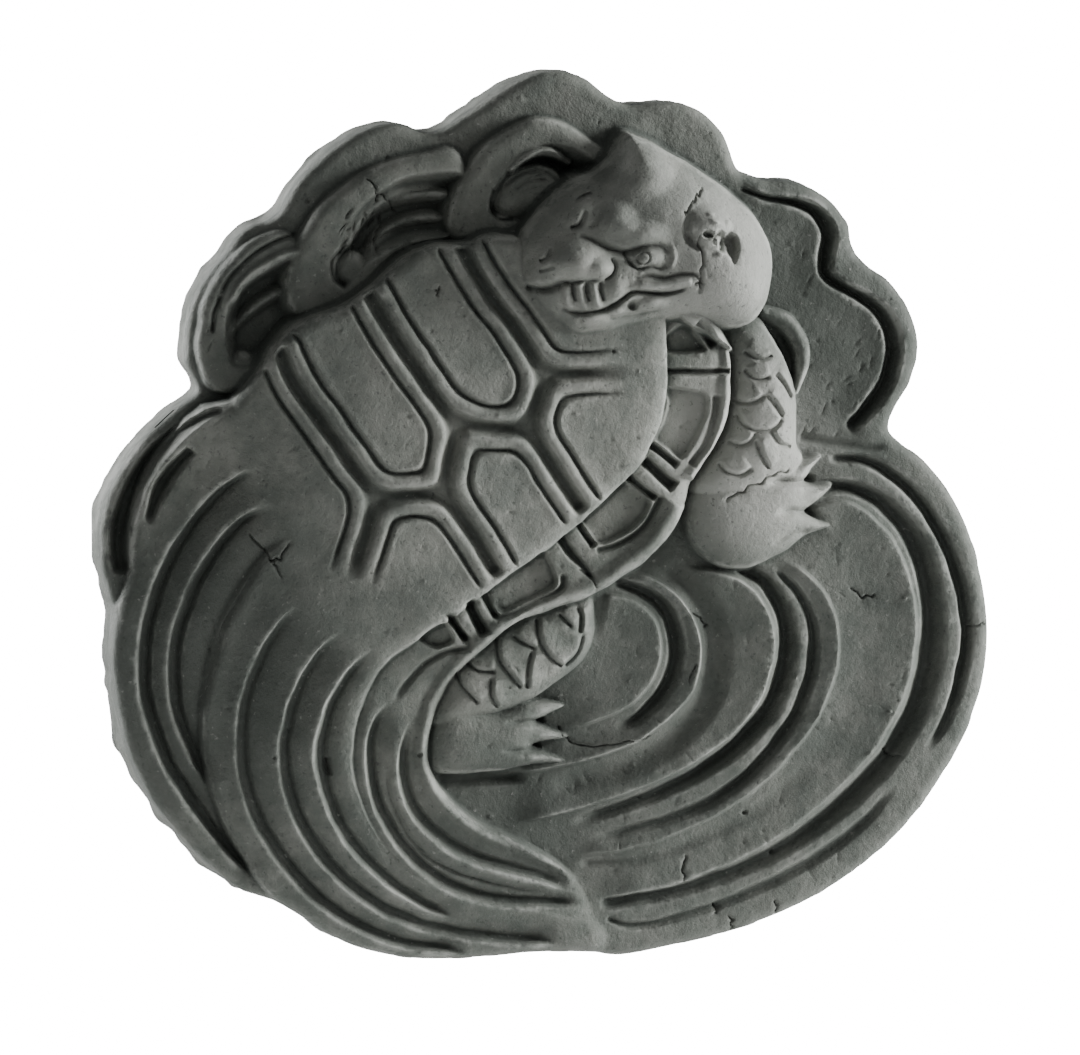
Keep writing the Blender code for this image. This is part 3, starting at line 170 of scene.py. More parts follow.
class Relief:
    """Heights in mm over sample points (x, z) of the tile's face."""

    def __init__(self, points):
        self.p = np.asarray(points, float)
        self.h = np.zeros(len(self.p))

    def near(self, line, reach):
        """Points within reach of the line: index, distance, signed distance, share along, length."""
        a, ab = line[:-1], line[1:] - line[:-1]
        length = np.hypot(*ab.T)
        start = np.concatenate([[0], np.cumsum(length)[:-1]])
        best = np.full(len(self.p), reach + 1e-9)
        side = np.ones(len(self.p))
        along = np.zeros(len(self.p))
        box = self.cull(line.min(0) - reach, line.max(0) + reach)
        for k in range(0, len(a), RUN):
            part = line[k:k + RUN + 1]
            lo, hi = part.min(0) - reach, part.max(0) + reach
            q = self.p[box]
            index = box[(q[:, 0] > lo[0]) & (q[:, 0] < hi[0]) & (q[:, 1] > lo[1]) & (q[:, 1] < hi[1])]
            q = self.p[index]
            for n in range(k, min(k + RUN, len(a))):
                dx, dz = q[:, 0] - a[n, 0], q[:, 1] - a[n, 1]
                u = np.clip((dx * ab[n, 0] + dz * ab[n, 1]) / (length[n]**2 + 1e-12), 0, 1)
                d = np.hypot(dx - u * ab[n, 0], dz - u * ab[n, 1])
                hit = d < best[index]
                i = index[hit]
                best[i] = d[hit]
                side[i] = np.where(ab[n, 0] * dz[hit] - ab[n, 1] * dx[hit] >= 0, 1, -1)
                along[i] = start[n] + u[hit] * length[n]
        index = np.nonzero(best <= reach)[0]
        d = best[index]
        return index, d, d * side[index], along[index] / length.sum(), length.sum()

    def cull(self, lo, hi):
        """Indices of the points inside a box."""
        return np.nonzero((self.p[:, 0] > lo[0]) & (self.p[:, 0] < hi[0])
                          & (self.p[:, 1] > lo[1]) & (self.p[:, 1] < hi[1]))[0]

    def inside(self, loop, reach, deep=30):
        """Signed distance to a closed loop, positive inside, from reach outside it to deep inside."""
        closed = np.vstack([loop, loop[:1]])
        index = self.cull(loop.min(0) - reach, loop.max(0) + reach)
        x, z = self.p[index].T
        within = np.zeros(len(index), bool)
        for (ax, az), (bx, bz) in zip(closed, closed[1:]):
            if az != bz:
                cross = (az > z) != (bz > z)
                within[cross] ^= x[cross] < ax + (z[cross] - az) * (bx - ax) / (bz - az)
        signed = np.where(within, deep, -1e9)
        full = np.zeros(len(self.p))
        full[index] = signed
        i, d, _, _, _ = self.near(closed, max(reach, deep))
        full[i] = np.where(full[i] > 0, d, -d)
        signed = full[index]
        keep = signed >= -reach
        return index[keep], signed[keep]

    def ends(self, along, total, fade):
        """1 along a stroke, easing to 0 over fade at each end; fade is one value or two."""
        first, last = np.broadcast_to(fade, 2)
        e = np.ones_like(along)
        if first:
            e *= ease(along * total, 0, first)
        if last:
            e *= ease((1 - along) * total, 0, last)
        return e

    def cut(self, points, width, depth, fade=4, sharp=2.0):
        """A channel, round-bottomed or, where sharp is 1, a V between round shoulders."""
        i, d, _, t, total = self.near(curve(points), np.max(width) / 2)
        u = np.clip(d / (spread_along(width, t) / 2), 0, 1)
        self.h[i] -= spread_along(depth, t) * self.ends(t, total, fade) * (1 - u**sharp)**2

    def crease(self, points, width, depth, fade=0.6):
        self.cut(points, width, depth, fade, sharp=1.2)

    def swell(self, points, rise, reach, side=1, fade=4, power=1.6):
        """The surface rises toward the line on one side of it, over reach."""
        i, d, s, t, total = self.near(curve(points), reach)
        on = s * side >= 0
        i, d, t = i[on], d[on], t[on]
        self.h[i] += rise * self.ends(t, total, fade) * (1 - d / reach)**power * ease(d, 0, CREST)

    def ridge(self, points, width, height, fade=3):
        self.cut(points, width, -np.asarray(height, float), fade)

    def sheet(self, loop, top, radius, steep=3.5, fillet=0.8, smooth=True):
        """Raises the region in the loop to top, with a rounded edge and a steep drafted wall."""
        loop = curve(loop, True) if smooth else np.asarray(loop, float)
        i, s = self.inside(loop, FOOT, np.max(radius))
        radius, steep = (a[i] if np.ndim(a) else a for a in (radius, steep))
        inner = np.clip(radius - s, 0, radius)
        drop = radius - np.sqrt(radius**2 - inner**2) + np.clip(-s, 0, None) * steep
        high = (top[i] if np.ndim(top) else top) - drop
        self.h[i] = soft_max(self.h[i], high, fillet)
        return i, s

    def sink(self, loop, floor, steep=2.5, fillet=1.0):
        """Hollows the region in the loop down to floor, with sloping walls."""
        deep, lip = 12, 30
        i, s = self.inside(curve(loop, True), 1, deep)
        bottom = floor - np.minimum(s, 0) * lip + np.clip(deep - s * steep, 0, None)
        self.h[i] = -soft_max(-self.h[i], -bottom, fillet)

    def depth_in(self, index, loop, s):
        """Depth inside a loop without a crease along its middle: near the edge, the plain distance."""
        edge, well_in = 1.5, 3.5
        deep = s > edge
        closed = np.vstack([loop, loop[:1]])
        middle, length = (closed[1:] + closed[:-1]) / 2, np.hypot(*(closed[1:] - closed[:-1]).T)
        q = self.p[index[deep]]
        out = np.empty(len(q))
        for k in range(0, len(q), SMALL_BATCH):
            part = q[k:k + SMALL_BATCH, None]
            cube = np.hypot(part[..., 0] - middle[:, 0], part[..., 1] - middle[:, 1])**3
            out[k:k + SMALL_BATCH] = np.sqrt(2 / (length / cube).sum(1))
        soft = s.copy()
        mix = ease(s[deep], edge, well_in)
        soft[deep] = s[deep] * (1 - mix) + out * mix
        return soft

    def pillow(self, loop, base, rise, reach, steep=3.5, fillet=1.0):
        """Raises a domed region: rise higher than base once reach inside the loop."""
        loop = curve(loop, True)
        i, s = self.inside(loop, FOOT, 40)
        u = np.clip(self.depth_in(i, loop, s) / reach, 0, 1)
        high = base + rise * np.sqrt(1 - (1 - u)**2) - np.clip(-s, 0, None) * steep
        self.h[i] = soft_max(self.h[i], high, fillet)

    def bump(self, x, z, rx, rz, height, turn=0.0, power=1.0):
        """Adds a soft elliptical bump, or a hollow where height is below zero."""
        c, s = np.cos(np.radians(turn)), np.sin(np.radians(turn))
        dx, dz = self.p[:, 0] - x, self.p[:, 1] - z
        near = (abs(dx) < 1.5 * max(rx, rz)) & (abs(dz) < 1.5 * max(rx, rz))
        u = ((dx * c + dz * s) / rx)[near], ((dz * c - dx * s) / rz)[near]
        r2 = np.clip(u[0]**2 + u[1]**2, 0, 1)
        self.h[near] += height * (1 - r2)**(1 + power)

    def terrain(self, posts):
        """A smooth base through soft posts (x, z, height)."""
        posts = np.asarray(posts, float)
        out = np.empty(len(self.p))
        for k in range(0, len(self.p), BATCH):
            q = self.p[k:k + BATCH]
            d2 = ((q[:, None] - posts[:, :2])**2).sum(2)
            w = np.exp(-d2 / (2 * POST_SPREAD**2)) + 1e-9
            out[k:k + BATCH] = (w * posts[:, 2]).sum(1) / w.sum(1)
        return out


def carve(points, finish=None):
    """The relief's heights at the points; finish is called before the tile's edge is rounded."""
    r = Relief(points)
    r.h = r.terrain(GROUND)
    hill = r.terrain(HILL)
    waves(r)
    upper_right(r)
    curls(r)
    body(r, hill)
    legs(r)
    head(r)
    if finish:
        finish(r)
    rim_round(r)
    return r.h


def waves(r):
    """The sea: w and r are lines that the surface swells to, c the channels beside them."""
    w1 = [15, -19.5, 23, -21, 28, -25.5, 30.3, -32, 30, -39, 26.5, -45.5, 21, -50.5, 13, -54, 4, -56]
    c1 = [17, -17.5, 25, -19.5, 31, -24.5, 33.8, -32, 33.3, -40, 30, -46.5, 24.5, -52, 17, -56]
    r1 = [20, -13, 29, -16, 36, -22, 40.3, -30, 41, -38, 38.3, -46.5, 32, -53.5, 23, -59.5, 12, -63.5,
        0, -66, -14, -68]
    w2 = [34, -13, 44, -14, 52, -17, 57.5, -23, 60, -31, 59.5, -40, 56, -49.5, 49, -57.5, 40, -64,
        29, -69.5, 17, -74, 5, -77.5, -8, -80]
    c2 = [50, -13.5, 57.5, -18, 61.8, -25, 63.3, -33, 62.3, -42, 58.5, -51, 51, -59.5, 42, -66, 31, -71.5,
        19, -76, 6, -80]
    c2b = [60, -14.5, 65.5, -20, 69.3, -27.5, 70.3, -35, 69, -43.5, 64.8, -53.5, 58, -62.5, 49.5, -70.5,
        38, -76.8, 24, -81, 10, -83.8]
    r3 = [60, -10.5, 68, -14.5, 74, -21.5, 77.2, -30, 77, -40, 73, -51.5, 66, -61.5, 57, -70.5, 46, -78,
        33, -83.8, 20, -87.3, 8, -88.5]
    w3 = [66, 0, 73, 3, 80, 2.8, 87, -2, 92.5, -9, 96, -18, 97.7, -28, 97, -39, 93.5, -50.5, 87, -61.5,
        78, -71.5, 67, -80.5, 54, -88.5, 40, -94.3, 26, -98, 13, -99.7]
    c3 = [68, 5, 77, 6.5, 85, 4.3, 91.5, -0.5, 97, -8, 100.5, -17.5, 101.7, -28, 101, -39.5, 97.5, -51.5,
        91.5, -62, 83, -71.5, 72, -80.8, 59, -88.6, 44, -94.8, 28, -98.8, 14, -100.5]
    c4 = [74, 13.5, 82, 13.5, 90, 10, 97, 4, 103, -4.5, 107.5, -14, 110.3, -25, 110.7, -35, 108.5, -46,
        104.5, -56, 100, -62.5]
    c4b = [92, -71, 85, -79.5, 75, -87.3, 63, -93.8, 50, -99.6, 36, -103.8, 23, -106.2, 15.5, -104]

    r.swell(w1, 2.2, 15, side=-1, fade=(2, 10))
    r.swell(r1, 3.4, 7.5, side=-1, fade=(8, 14))
    r.swell(w2, 3.2, 16, side=-1, fade=(12, 10))
    r.swell(r3, 2.2, 7, side=-1, fade=(10, 8))
    r.swell(w3, 2, 15, side=-1, fade=(6, 12))
    r.cut(c1, [3, 5, 5.5, 5, 3], [2.5, 5, 5, 4.5, 2], (3, 8))
    foot_of_r1 = [30, -13.5, 38, -19, 43, -28, 44.5, -38, 41.5, -48.5, 34, -57, 24, -63.5, 12, -67.5,
        0, -70]
    r.cut(foot_of_r1, [8, 10, 9, 7], [1.5, 3.2, 2.6, 1.2], (4, 8))
    r.cut(c2, [4.5, 6.5, 6.5, 5, 3.5], [4.5, 6.5, 6.5, 4.5, 2.5], (2, 10))
    r.cut(c2b, [2.5, 4.5, 4.6, 4, 2.6], [2, 4, 4, 2.6, 1.2], (3, 12))
    r.cut([80, -20, 83, -32, 82, -42, 78, -53, 70, -64, 60, -73.5, 48, -80.5, 35, -86, 22, -89.3, 9, -90],
        [8, 8, 5, 3], [0, 0.2, 0.6, 1.2], (8, 3))
    r.cut(c3, [4, 7.5, 8.5, 7, 5, 4], [3.5, 6.5, 7, 5.5, 4.2, 3.6], 3)
    r.cut(c4, [3, 4.6, 5, 4.6, 3], [2.5, 4.6, 5, 4.4, 1.5], (3, 6))
    r.cut(c4b, [3, 4.5, 4, 3, 2.5], [1.2, 2.4, 2.2, 1.8, 1.6], (8, 2))


def upper_right(r):
    """The wavy channel inside the rim at the upper right."""
    channel = [50, 83.2, 57, 80.6, 65, 79.3, 71, 76.6, 73.8, 71.5, 73, 66, 73, 61.5, 78, 57.5, 85.5, 53.2,
        90, 47, 91, 40, 88.5, 32.5, 83.5, 25.5, 78.5, 21]
    r.swell(channel, 1.8, 9, side=1, fade=6)
    r.swell(channel, 1.2, 9, side=-1, fade=6)
    r.cut(channel, [1.6, 2.6, 5, 5.4, 4, 5.2, 5.6, 5.4, 4.4], [1.5, 3, 5.5, 5.5, 4.5, 5.5, 6, 5.6, 4.5], 3)
    # sea edge above the front foot
    r.cut([66, 19, 74, 18, 84, 16.5, 90, 17], [4, 3], [1.6, 0.8], (2, 4))


def hook(r, arm, width, base, rise, steep=3.0):
    """A curl of spray: a rounded band swept along its middle line."""
    i, d, _, t, _ = r.near(curve(arm), np.max(width) / 2 + 4)
    w = spread_along(width, t) / 2
    u = np.clip(d / w, 0, 1)
    top = base + rise * np.sqrt(1 - u**2) - np.clip(d - w, 0, None) * steep
    r.h[i] = soft_max(r.h[i], top, 0.8)


def curls(r):
    # left lobe: a rim, two swept ridges that run into a dark hollow, and a small ball
    r.sheet([-63, 70, -68, 72.5, -75, 70, -81, 64, -85.5, 57, -88, 49, -88.5, 41, -86, 34, -81, 31.5,
        -74, 34, -68, 44, -60, 52, -58, 62], 22.5, 3)
    r.sink([-52, 69, -60, 69, -68, 67.6, -75, 64, -80, 58.5, -82.6, 52, -82.6, 44, -81, 38, -78, 36.5,
        -74, 37, -66, 42, -56, 50, -50, 60], 14)
    r.ridge([-58, 65.4, -65, 65, -71, 63, -76.5, 58.8, -80.3, 53], [6.5, 6.5, 5, 3], [5, 5, 4, 2.5], (0, 3))
    r.ridge([-58, 58.4, -66, 57.4, -72.5, 54.2, -77.5, 49.4, -80, 45], [6, 6, 5, 3], [4.5, 4.5, 4, 1.5],
        (0, 3))
    r.pillow(ring(-77, 38, 4.5), 15, 7, 4.4)
    r.crease([-60, 71.6, -68, 70, -75, 66, -80, 60.4, -83, 55], 2.2, 1.8, (1, 3))
    r.crease([-84.8, 46.6, -84.2, 51.6, -82.2, 56.4], 1.9, 1.8, 1)
    # middle curl: a broad band round a hollow with a rough lobe, two ribs and a ball
    r.sheet([-22, 91.8, -32, 91.6, -41, 89.6, -50.4, 84.8, -58.4, 78, -63.6, 69.6, -65.9, 61.5, -65.5, 54,
        -61.2, 49.8, -53.5, 50.2, -45, 54.8, -38, 66, -26, 70, -20, 74], 25, 4)
    r.sink([-20, 87, -34, 87, -41.6, 84, -47.9, 79.4, -51.6, 73.4, -54.6, 66.4, -55.4, 61, -53.2, 57.4,
        -50.5, 57.2, -46, 63, -42, 65.5, -34, 68.5, -24, 70, -18, 73], 15)
    r.ridge([-24, 81.4, -31, 81.8, -39, 80.2, -45.6, 76, -50, 69.6, -51.4, 66], [6, 6, 5, 3.4],
        [5.4, 5.4, 4.6, 2.6], (1, 4))
    r.ridge([-22, 75, -30, 75.6, -37.4, 74, -43, 70.4, -46.4, 66], [6, 6, 5, 3], [5, 5, 4.2, 2], (1, 4))
    r.pillow(ring(-49.6, 62.6, 4.9), 18, 7, 4.8)
    r.crease([-51, 58.2, -54.2, 60.2, -54.8, 64.4, -52.4, 67.4], 1.9, 1.6)
    # right curl, by the head: a band round a smooth lobe that ends in a ball
    r.sheet([15.5, 91, 10.9, 95.4, 4.8, 99.3, -1.3, 100.8, -6.5, 99.7, -16.2, 93.6, -22.4, 84.9,
        -25.4, 76.4, -24.8, 71, -20.8, 67.8, -13.5, 68, -4, 70, 2, 78, 10, 84], 26, 4)
    r.sink([12.5, 89.3, 7, 93.4, -0.5, 94.4, -7, 91.6, -12.4, 86, -15.4, 80, -15.4, 76.3, -12.4, 75,
        -9, 74.4, -3, 73, 2, 77, 11, 86], 15)
    r.pillow([-14, 79.4, -12.2, 84.6, -7.6, 88.4, -1.4, 89.2, 3.6, 86, 4.4, 80, 0, 75.4, -6, 73.6,
        -12, 75.4], 20.5, 6, 6.5)
    r.ridge([-10, 87, -5.5, 90.8, 0.5, 92, 6.8, 88.8], [2.4, 3, 3.4, 3], [3, 5.2, 5.6, 4], 1)
    r.cut([-11, 83.6, -6.6, 86.8, -1.4, 87.4, 2.6, 84.8], 1.4, 1, 0.8)
    r.cut([-8.4, 82.6, -4.4, 85, 0, 85], 1.3, 0.7, 0.8)
    r.bump(-10.2, 79.3, 4.8, 4.4, 1.8, 0, 0.6)
    r.crease([-8.6, 75, -12.8, 75.4, -14.6, 79, -13.6, 83], 1.9, 1.8, (0.6, 0.8))
    # crescent behind the front leg
    r.bump(60, 42, 7, 7, -2.5)
    hook(r, [56, 51.5, 62, 49, 66, 43.5, 66.5, 37.5, 64.5, 31], [4, 5.4, 5.2, 4.4, 2.5], 18, 5)


def ring(x, z, radius):
    """Eight points round a circle."""
    turns = np.linspace(0, 2 * np.pi, 8, endpoint=False)
    return [(x + radius * np.cos(t), z + radius * np.sin(t)) for t in turns]


RIGHT_EDGE = [45, 44, 46.5, 36, 46.3, 28, 43.8, 20, 39.5, 13, 36.4, 8, 34.8, 3, 31, -5, 24.5, -11.5,
    16, -17, 8, -21, 0, -23.5, -8, -26.3, -14, -30.5, -20, -37, -25.5, -43.5, -28.7, -50, -30, -57,
    -29.5, -64, -25.5, -70.5, -19, -76.5, -10, -81.5, -1, -85.8, 7, -91.5, 11.5, -96.5, 14, -101,
    17.5, -108, 17, -118]


def body(r, hill):
    """Shell and tail: one hill with a steep edge, then the grooves that are cut in it."""
    top = [-80.5, 29.5, -74, 37, -66.5, 46.5, -61, 50.5, -53, 53.5, -46, 58, -38, 65, -30, 68.5, -22, 69,
        -10, 71, 30, 60, 40, 52]
    left = curve(BACK_TAIL_LEFT)[::-1]
    loop = np.vstack([curve(top + RIGHT_EDGE), [(-20, -120), (-70, -114), (-105, -95),
        (-118, -60), (-118, -34)], left])
    # the margin lies lower than the shell above it
    beyond = curve(RIGHT_EDGE[:52])[::-1] + (12, -8)
    i, s = r.inside(np.vstack([curve(CLIFF), beyond]), 0.5, 3)
    hill[i] -= np.interp(r.p[i, 1], [-95, -75, -50, -32, -15],
        [0.6, 1.6, 2.8, 4.6, 5.2]) * ease(s, 0, 1.3)
    # a steeper, tighter edge at the upper left, a rounder one along the margin's rim
    left_to_right = r.p[:, 0] - r.p[:, 1]
    steep = np.interp(left_to_right, [-60, 0], [6.5, 4])
    radius = np.interp(left_to_right, [-60, 0], [3.6, 6.4])
    i, s = r.sheet(loop, hill + 0.12 * (radius - 3.6), radius, steep, smooth=False)
    on_back = np.zeros(len(r.h))
    on_back[i] = ease(s, 0, 1.5)
    r.cut([-82, 28, -88, 25.6, -95, 20.4, -101, 13.6, -105.6, 5, -108, -5, -107.4, -14],
        [2, 4.5, 6.5, 7, 5], [1.5, 5, 7, 7, 4], 2)
    r.cut([-90, 18, -95, 12.4, -99, 5.6, -101.4, -1], [3.5, 5.5, 3], [4, 6, 2.5], (1, 3))
    strands(r)
    scutes(r, on_back)
    margin(r)


def borders():
    """The lines between the scutes, from joint to joint."""
    j0, j1, j2, j3, j4 = (-2.5, 36.3), (-25, 24.3), (-7, 23.3), (-45, 6), (-28.3, 6.8)
    return [
        [(-23.5, 68.5), (-17.5, 58), (-10, 48), j0],
        [j0, (8, 36.6), (20, 37.3)],
        [j0, (-5, 29), j2],
        [(-47, 57.5), (-42, 48.5), (-35.5, 38.5), (-30, 30.5), j1],
        [j1, (-16, 23), j2],
        [j2, (-1, 14), (7.5, 1.2)],
        [j1, (-26.8, 16), j4],
        [(-68.5, 42), (-65, 34), (-58, 24), (-51, 14), j3],
        [j3, (-36, 6.5), j4],
        [j4, (-21, -3), (-14, -14.6)],
        [j3, (-48, -5), (-51.5, -15)]]


# borders that run out on the shell, and the length over which each fades
TAPERS = {(20, 37.3): 15, (7.5, 1.2): 2.5, (-14, -14.6): 2.5, (-51.5, -15): 7}


def scutes(r, on_back):
    """Double-lined scutes: on each border a broad groove, beside it a band, then a fine line."""
    near = np.zeros(len(r.p))
    ends = np.zeros(len(r.p))
    best = np.full(len(r.p), 1e9)
    merge, half_groove = 0.9, 2.4
    for line in borders():
        i, d, _, t, total = r.near(curve(line), 10)
        near[i] += np.exp(-d / merge)
        first = d < best[i]
        best[i[first]] = d[first]
        tip = 1 - ease(t[first] * total, total - TAPERS.get(line[-1], 0), total)
        ends[i[first]] = tip if line[-1] in TAPERS else 1.0
    on = near > 0
    d = -merge * np.log(near[on])

    def hump(at, wide):
        return np.exp(-((d - at) / wide)**2)

    groove = (1 - np.clip(d / half_groove, 0, 1)**2)**1.5
    r.h[on] += on_back[on] * ends[on] * (0.55 * hump(3.3, 1.2) - 3.7 * groove
                                         - 1.9 * hump(5.4, 0.58) + 0.25 * hump(6.7, 0.8))


def bars(r, cuts, width, depth):
    """Straight cuts, each from (ax, az) to (bx, bz)."""
    for ax, az, bx, bz in cuts:
        r.cut([ax, az, (ax + bx) / 2, (az + bz) / 2, bx, bz], width, depth, 0.8)


CLIFF = [27.5, 54, 27.8, 46, 28.4, 37, 28, 30, 26.2, 23, 22.8, 16, 16.8, 8.7, 8.7, 1.2, 0, -5.6, -9, -11.9,
    -18, -18.2, -27, -24.7, -36, -30.7, -42.5, -36, -47, -43, -50, -51, -51, -60, -49.5, -70, -45.5, -79,
    -39, -88, -31, -94.5]


def margin(r):
    """The band of small scutes along the shell's lower edge, which runs on into the tail."""
    r.cut(CLIFF, 8, 1.1, (0, 12), sharp=1)
    # the rim's rounded ridge, and the plain rim above the front foot
    r.ridge([33, 4, 31, -1, 26.5, -6.5, 20.5, -11.8, 14, -16, 7, -19.3, 0, -21.6, -8, -24.8, -15, -29,
        -22, -35.7, -27.5, -43.5, -31.5, -53, -31.5, -63.5, -27, -72, -19, -79, -9, -84.3, 1, -89, 9, -95],
        [9, 8.4, 7.6, 7, 6.4, 6, 6, 5.6, 5, 4.4, 3.4], [2.8, 3, 3, 2.8, 2.6, 2.4, 2.4, 2, 1.8, 1.4, 1],
        (1.5, 4))
    r.ridge([45.5, 44, 45.4, 36, 45, 29, 42.6, 21, 38.4, 13.5, 35.4, 9], 5.6, 2.8, (2, 1))
    # sunk plates, each with a crease outside its lower lip
    for plate in PLATES:
        i, s = r.inside(curve(plate, True), 0.5, 3)
        r.h[i] -= 2.5 * ease(s, -0.3, 1)
    r.cut([36, 49.5, 39, 47, 41.8, 42.8], 3.4, 3.2, (0.5, 1))
    r.cut([42.4, 31, 42, 25, 39.8, 18.5, 35.6, 12.6], 3, 2.4, 1)
    r.cut([28.4, 5.4, 24, -2, 18, -6.6, 11, -8.6], 2.4, 2, 1)
    r.cut([3, -14, 2.2, -18, -5, -21.3, -10, -24, -15, -25.6], 2.2, 1.6, 1)
    # the plates' raised borders stand in pairs, with a deep gap between them
    bars(r, [(29, 36.6, 46, 36.8)], 2.4, 3)
    bars(r, [(25.3, 18.4, 32.4, 12.8), (19.2, 10.6, 27, 4.4), (6.4, -1.4, 10.8, -7.8),
        (-17.8, -18.3, -14, -25.2), (-26.6, -23.4, -21.6, -31)], 2.8, 3.6)
    bars(r, [(23.4, 14.6, 31.6, 7.2), (-21.8, -20.2, -17, -29.4)], 4, 4.8)
    r.cut([2, -4.6, 5, -9, 8.2, -12.6, 10.4, -15.6], [3.4, 3.6, 2.6, 1.6], [3.4, 3.8, 2.4, 1.4], 0.8)
    r.cut([-27, -24, -21, -32, -27, -34, -34, -39, -41, -48], 2.6, [1.5, 1.6, 1.2], (0, 8))


PLATES = [
    [28.8, 45.5, 33.8, 49, 37, 46, 39.6, 42.4, 34, 41.2, 29.2, 41.6],
    [29.8, 32.6, 36, 32.4, 39.8, 31.2, 40.2, 26.5, 38, 21, 33.6, 14.6, 29.5, 17, 26.6, 19.4, 28.6, 24.5,
     29.8, 28.5], [16.6, 8.4, 19.4, 9, 25.6, 4, 22, -2, 17, -5.4, 12, -7.2, 9.4, -4, 7.4, -0.6, 12, 3.6],
    [-12, -13.8, -7, -10.5, -2.4, -8.2, 0.6, -13, 1.2, -17, -4, -20, -10, -22.8, -13.6, -23.6, -17, -18.2],
    [-34, -30, -28, -25.6, -24.6, -30.6, -29, -33]]

BACK_STRANDS = [
    [-74, 13, -81, 9, -88, 2, -94.5, -7.5, -99.5, -19, -102, -31, -102.2, -42, -100, -52, -95.5, -63,
     -89, -73.5, -81, -84, -74, -91],
    [-70, 4, -78, 0, -84.5, -7.5, -90, -17, -93.8, -28, -95, -39, -93.5, -49.5, -90, -58.5, -86, -68]]
FRONT_STRANDS = [
    [-64, -21, -70, -28, -75, -38, -77.6, -48, -78, -58, -76.5, -68, -72.5, -78.5, -66, -88.5, -58, -97,
     -48, -104, -36, -108.8, -20, -110.8],
    [-53, -27.5, -60, -35, -65, -45, -67.5, -56, -66.5, -67, -63, -77, -57, -86.5, -48.5, -95, -38, -101.5,
     -25, -106, -10, -108.3, 4, -109],
    [-45, -32, -52, -40, -57, -50, -58.5, -60, -56.3, -71, -51.5, -80.5, -44, -89.5, -34, -97, -23, -102.5],
    [-40, -46, -44, -51, -45.8, -58, -45, -68, -41.5, -77, -35, -86, -26, -93.5, -14, -98, -2, -99,
     10, -99.5],
    [-34.5, -51, -37.3, -58, -37.3, -66, -34.5, -74, -28.5, -81, -20, -86.5, -10, -90, 0, -93, 7, -96]]


def strands(r):
    """The tail's strands: rounded cords between narrow grooves."""
    for lines, depth in ((BACK_STRANDS, 4.2), (FRONT_STRANDS, 3)):
        for line in lines:
            r.swell(line, 1.1, 7, side=-1, fade=(9, 8), power=1.2)
            r.swell(line, -depth, 7.5, side=1, fade=(9, 8), power=1.7)
            r.cut(line, [2.4, 4.4, 4.4, 2.4], 0.95 * depth, (9, 8))
    # the front mass overlaps the back strands with a clean step
    r.swell(TAIL_LEFT, -3.4, 9, side=-1, fade=(9, 6), power=1.4)
    r.swell(TAIL_LEFT, 0.8, 6, side=1, fade=(9, 6))
    r.cut([-72, -8, -76, -14, -81, -23, -84.3, -31, -86.5, -40, -88.5, -50], 5, [1, 2.4, 1], 5, sharp=1)
    r.cut([-41.5, -60, -41, -69, -37, -79, -30.5, -86.3, -21, -91.5, -10, -94.8, 1, -96.5], 3,
        [0.6, 1.4, 1.4, 1], 8, sharp=1)


FRONT_SCALES = [
    [48.3, 26, 49.5, 23, 53, 21.3, 57, 21.8, 60, 24.5], [47.5, 30, 50, 28.6, 53, 29, 55.5, 30.6],
    [55.5, 31, 58, 28, 60, 24.5], [46, 19, 48.5, 17.8, 51, 18.6, 53, 21],
    [43.5, 13.5, 45.5, 11, 49, 10.3, 52, 12], [52.5, 19.5, 53.8, 15.5, 56.5, 11.6],
    [56.5, 21.5, 59, 18, 62.5, 17], [49.5, 42, 53.5, 39.6, 57.5, 40.5], [50, 37.5, 53, 34.6, 57, 35.2],
    [58, 36, 60.5, 33.5, 62.5, 29]]
HIND_SCALES = [
    [-3, -25.5, -2.8, -31, 0, -35.5, 3.5, -38.5], [-13.5, -30.5, -13, -36, -10.3, -40, -7, -43.7],
    [-9.5, -30, -7, -32, -3.5, -33.6], [-4.6, -33.8, -5.6, -38.5, -5.5, -44],
    [-23.5, -39, -22, -43, -18.2, -47.2], [-15, -40.5, -15, -45, -12.8, -48.4],
    [-21, -36.8, -18, -39, -13.6, -39.2], [2.5, -24.6, 4, -26.4, 6, -28.4], [7.5, -23, 8.4, -26, 8, -30],
    [4, -38.6, 7.6, -34.5, 9, -30]]


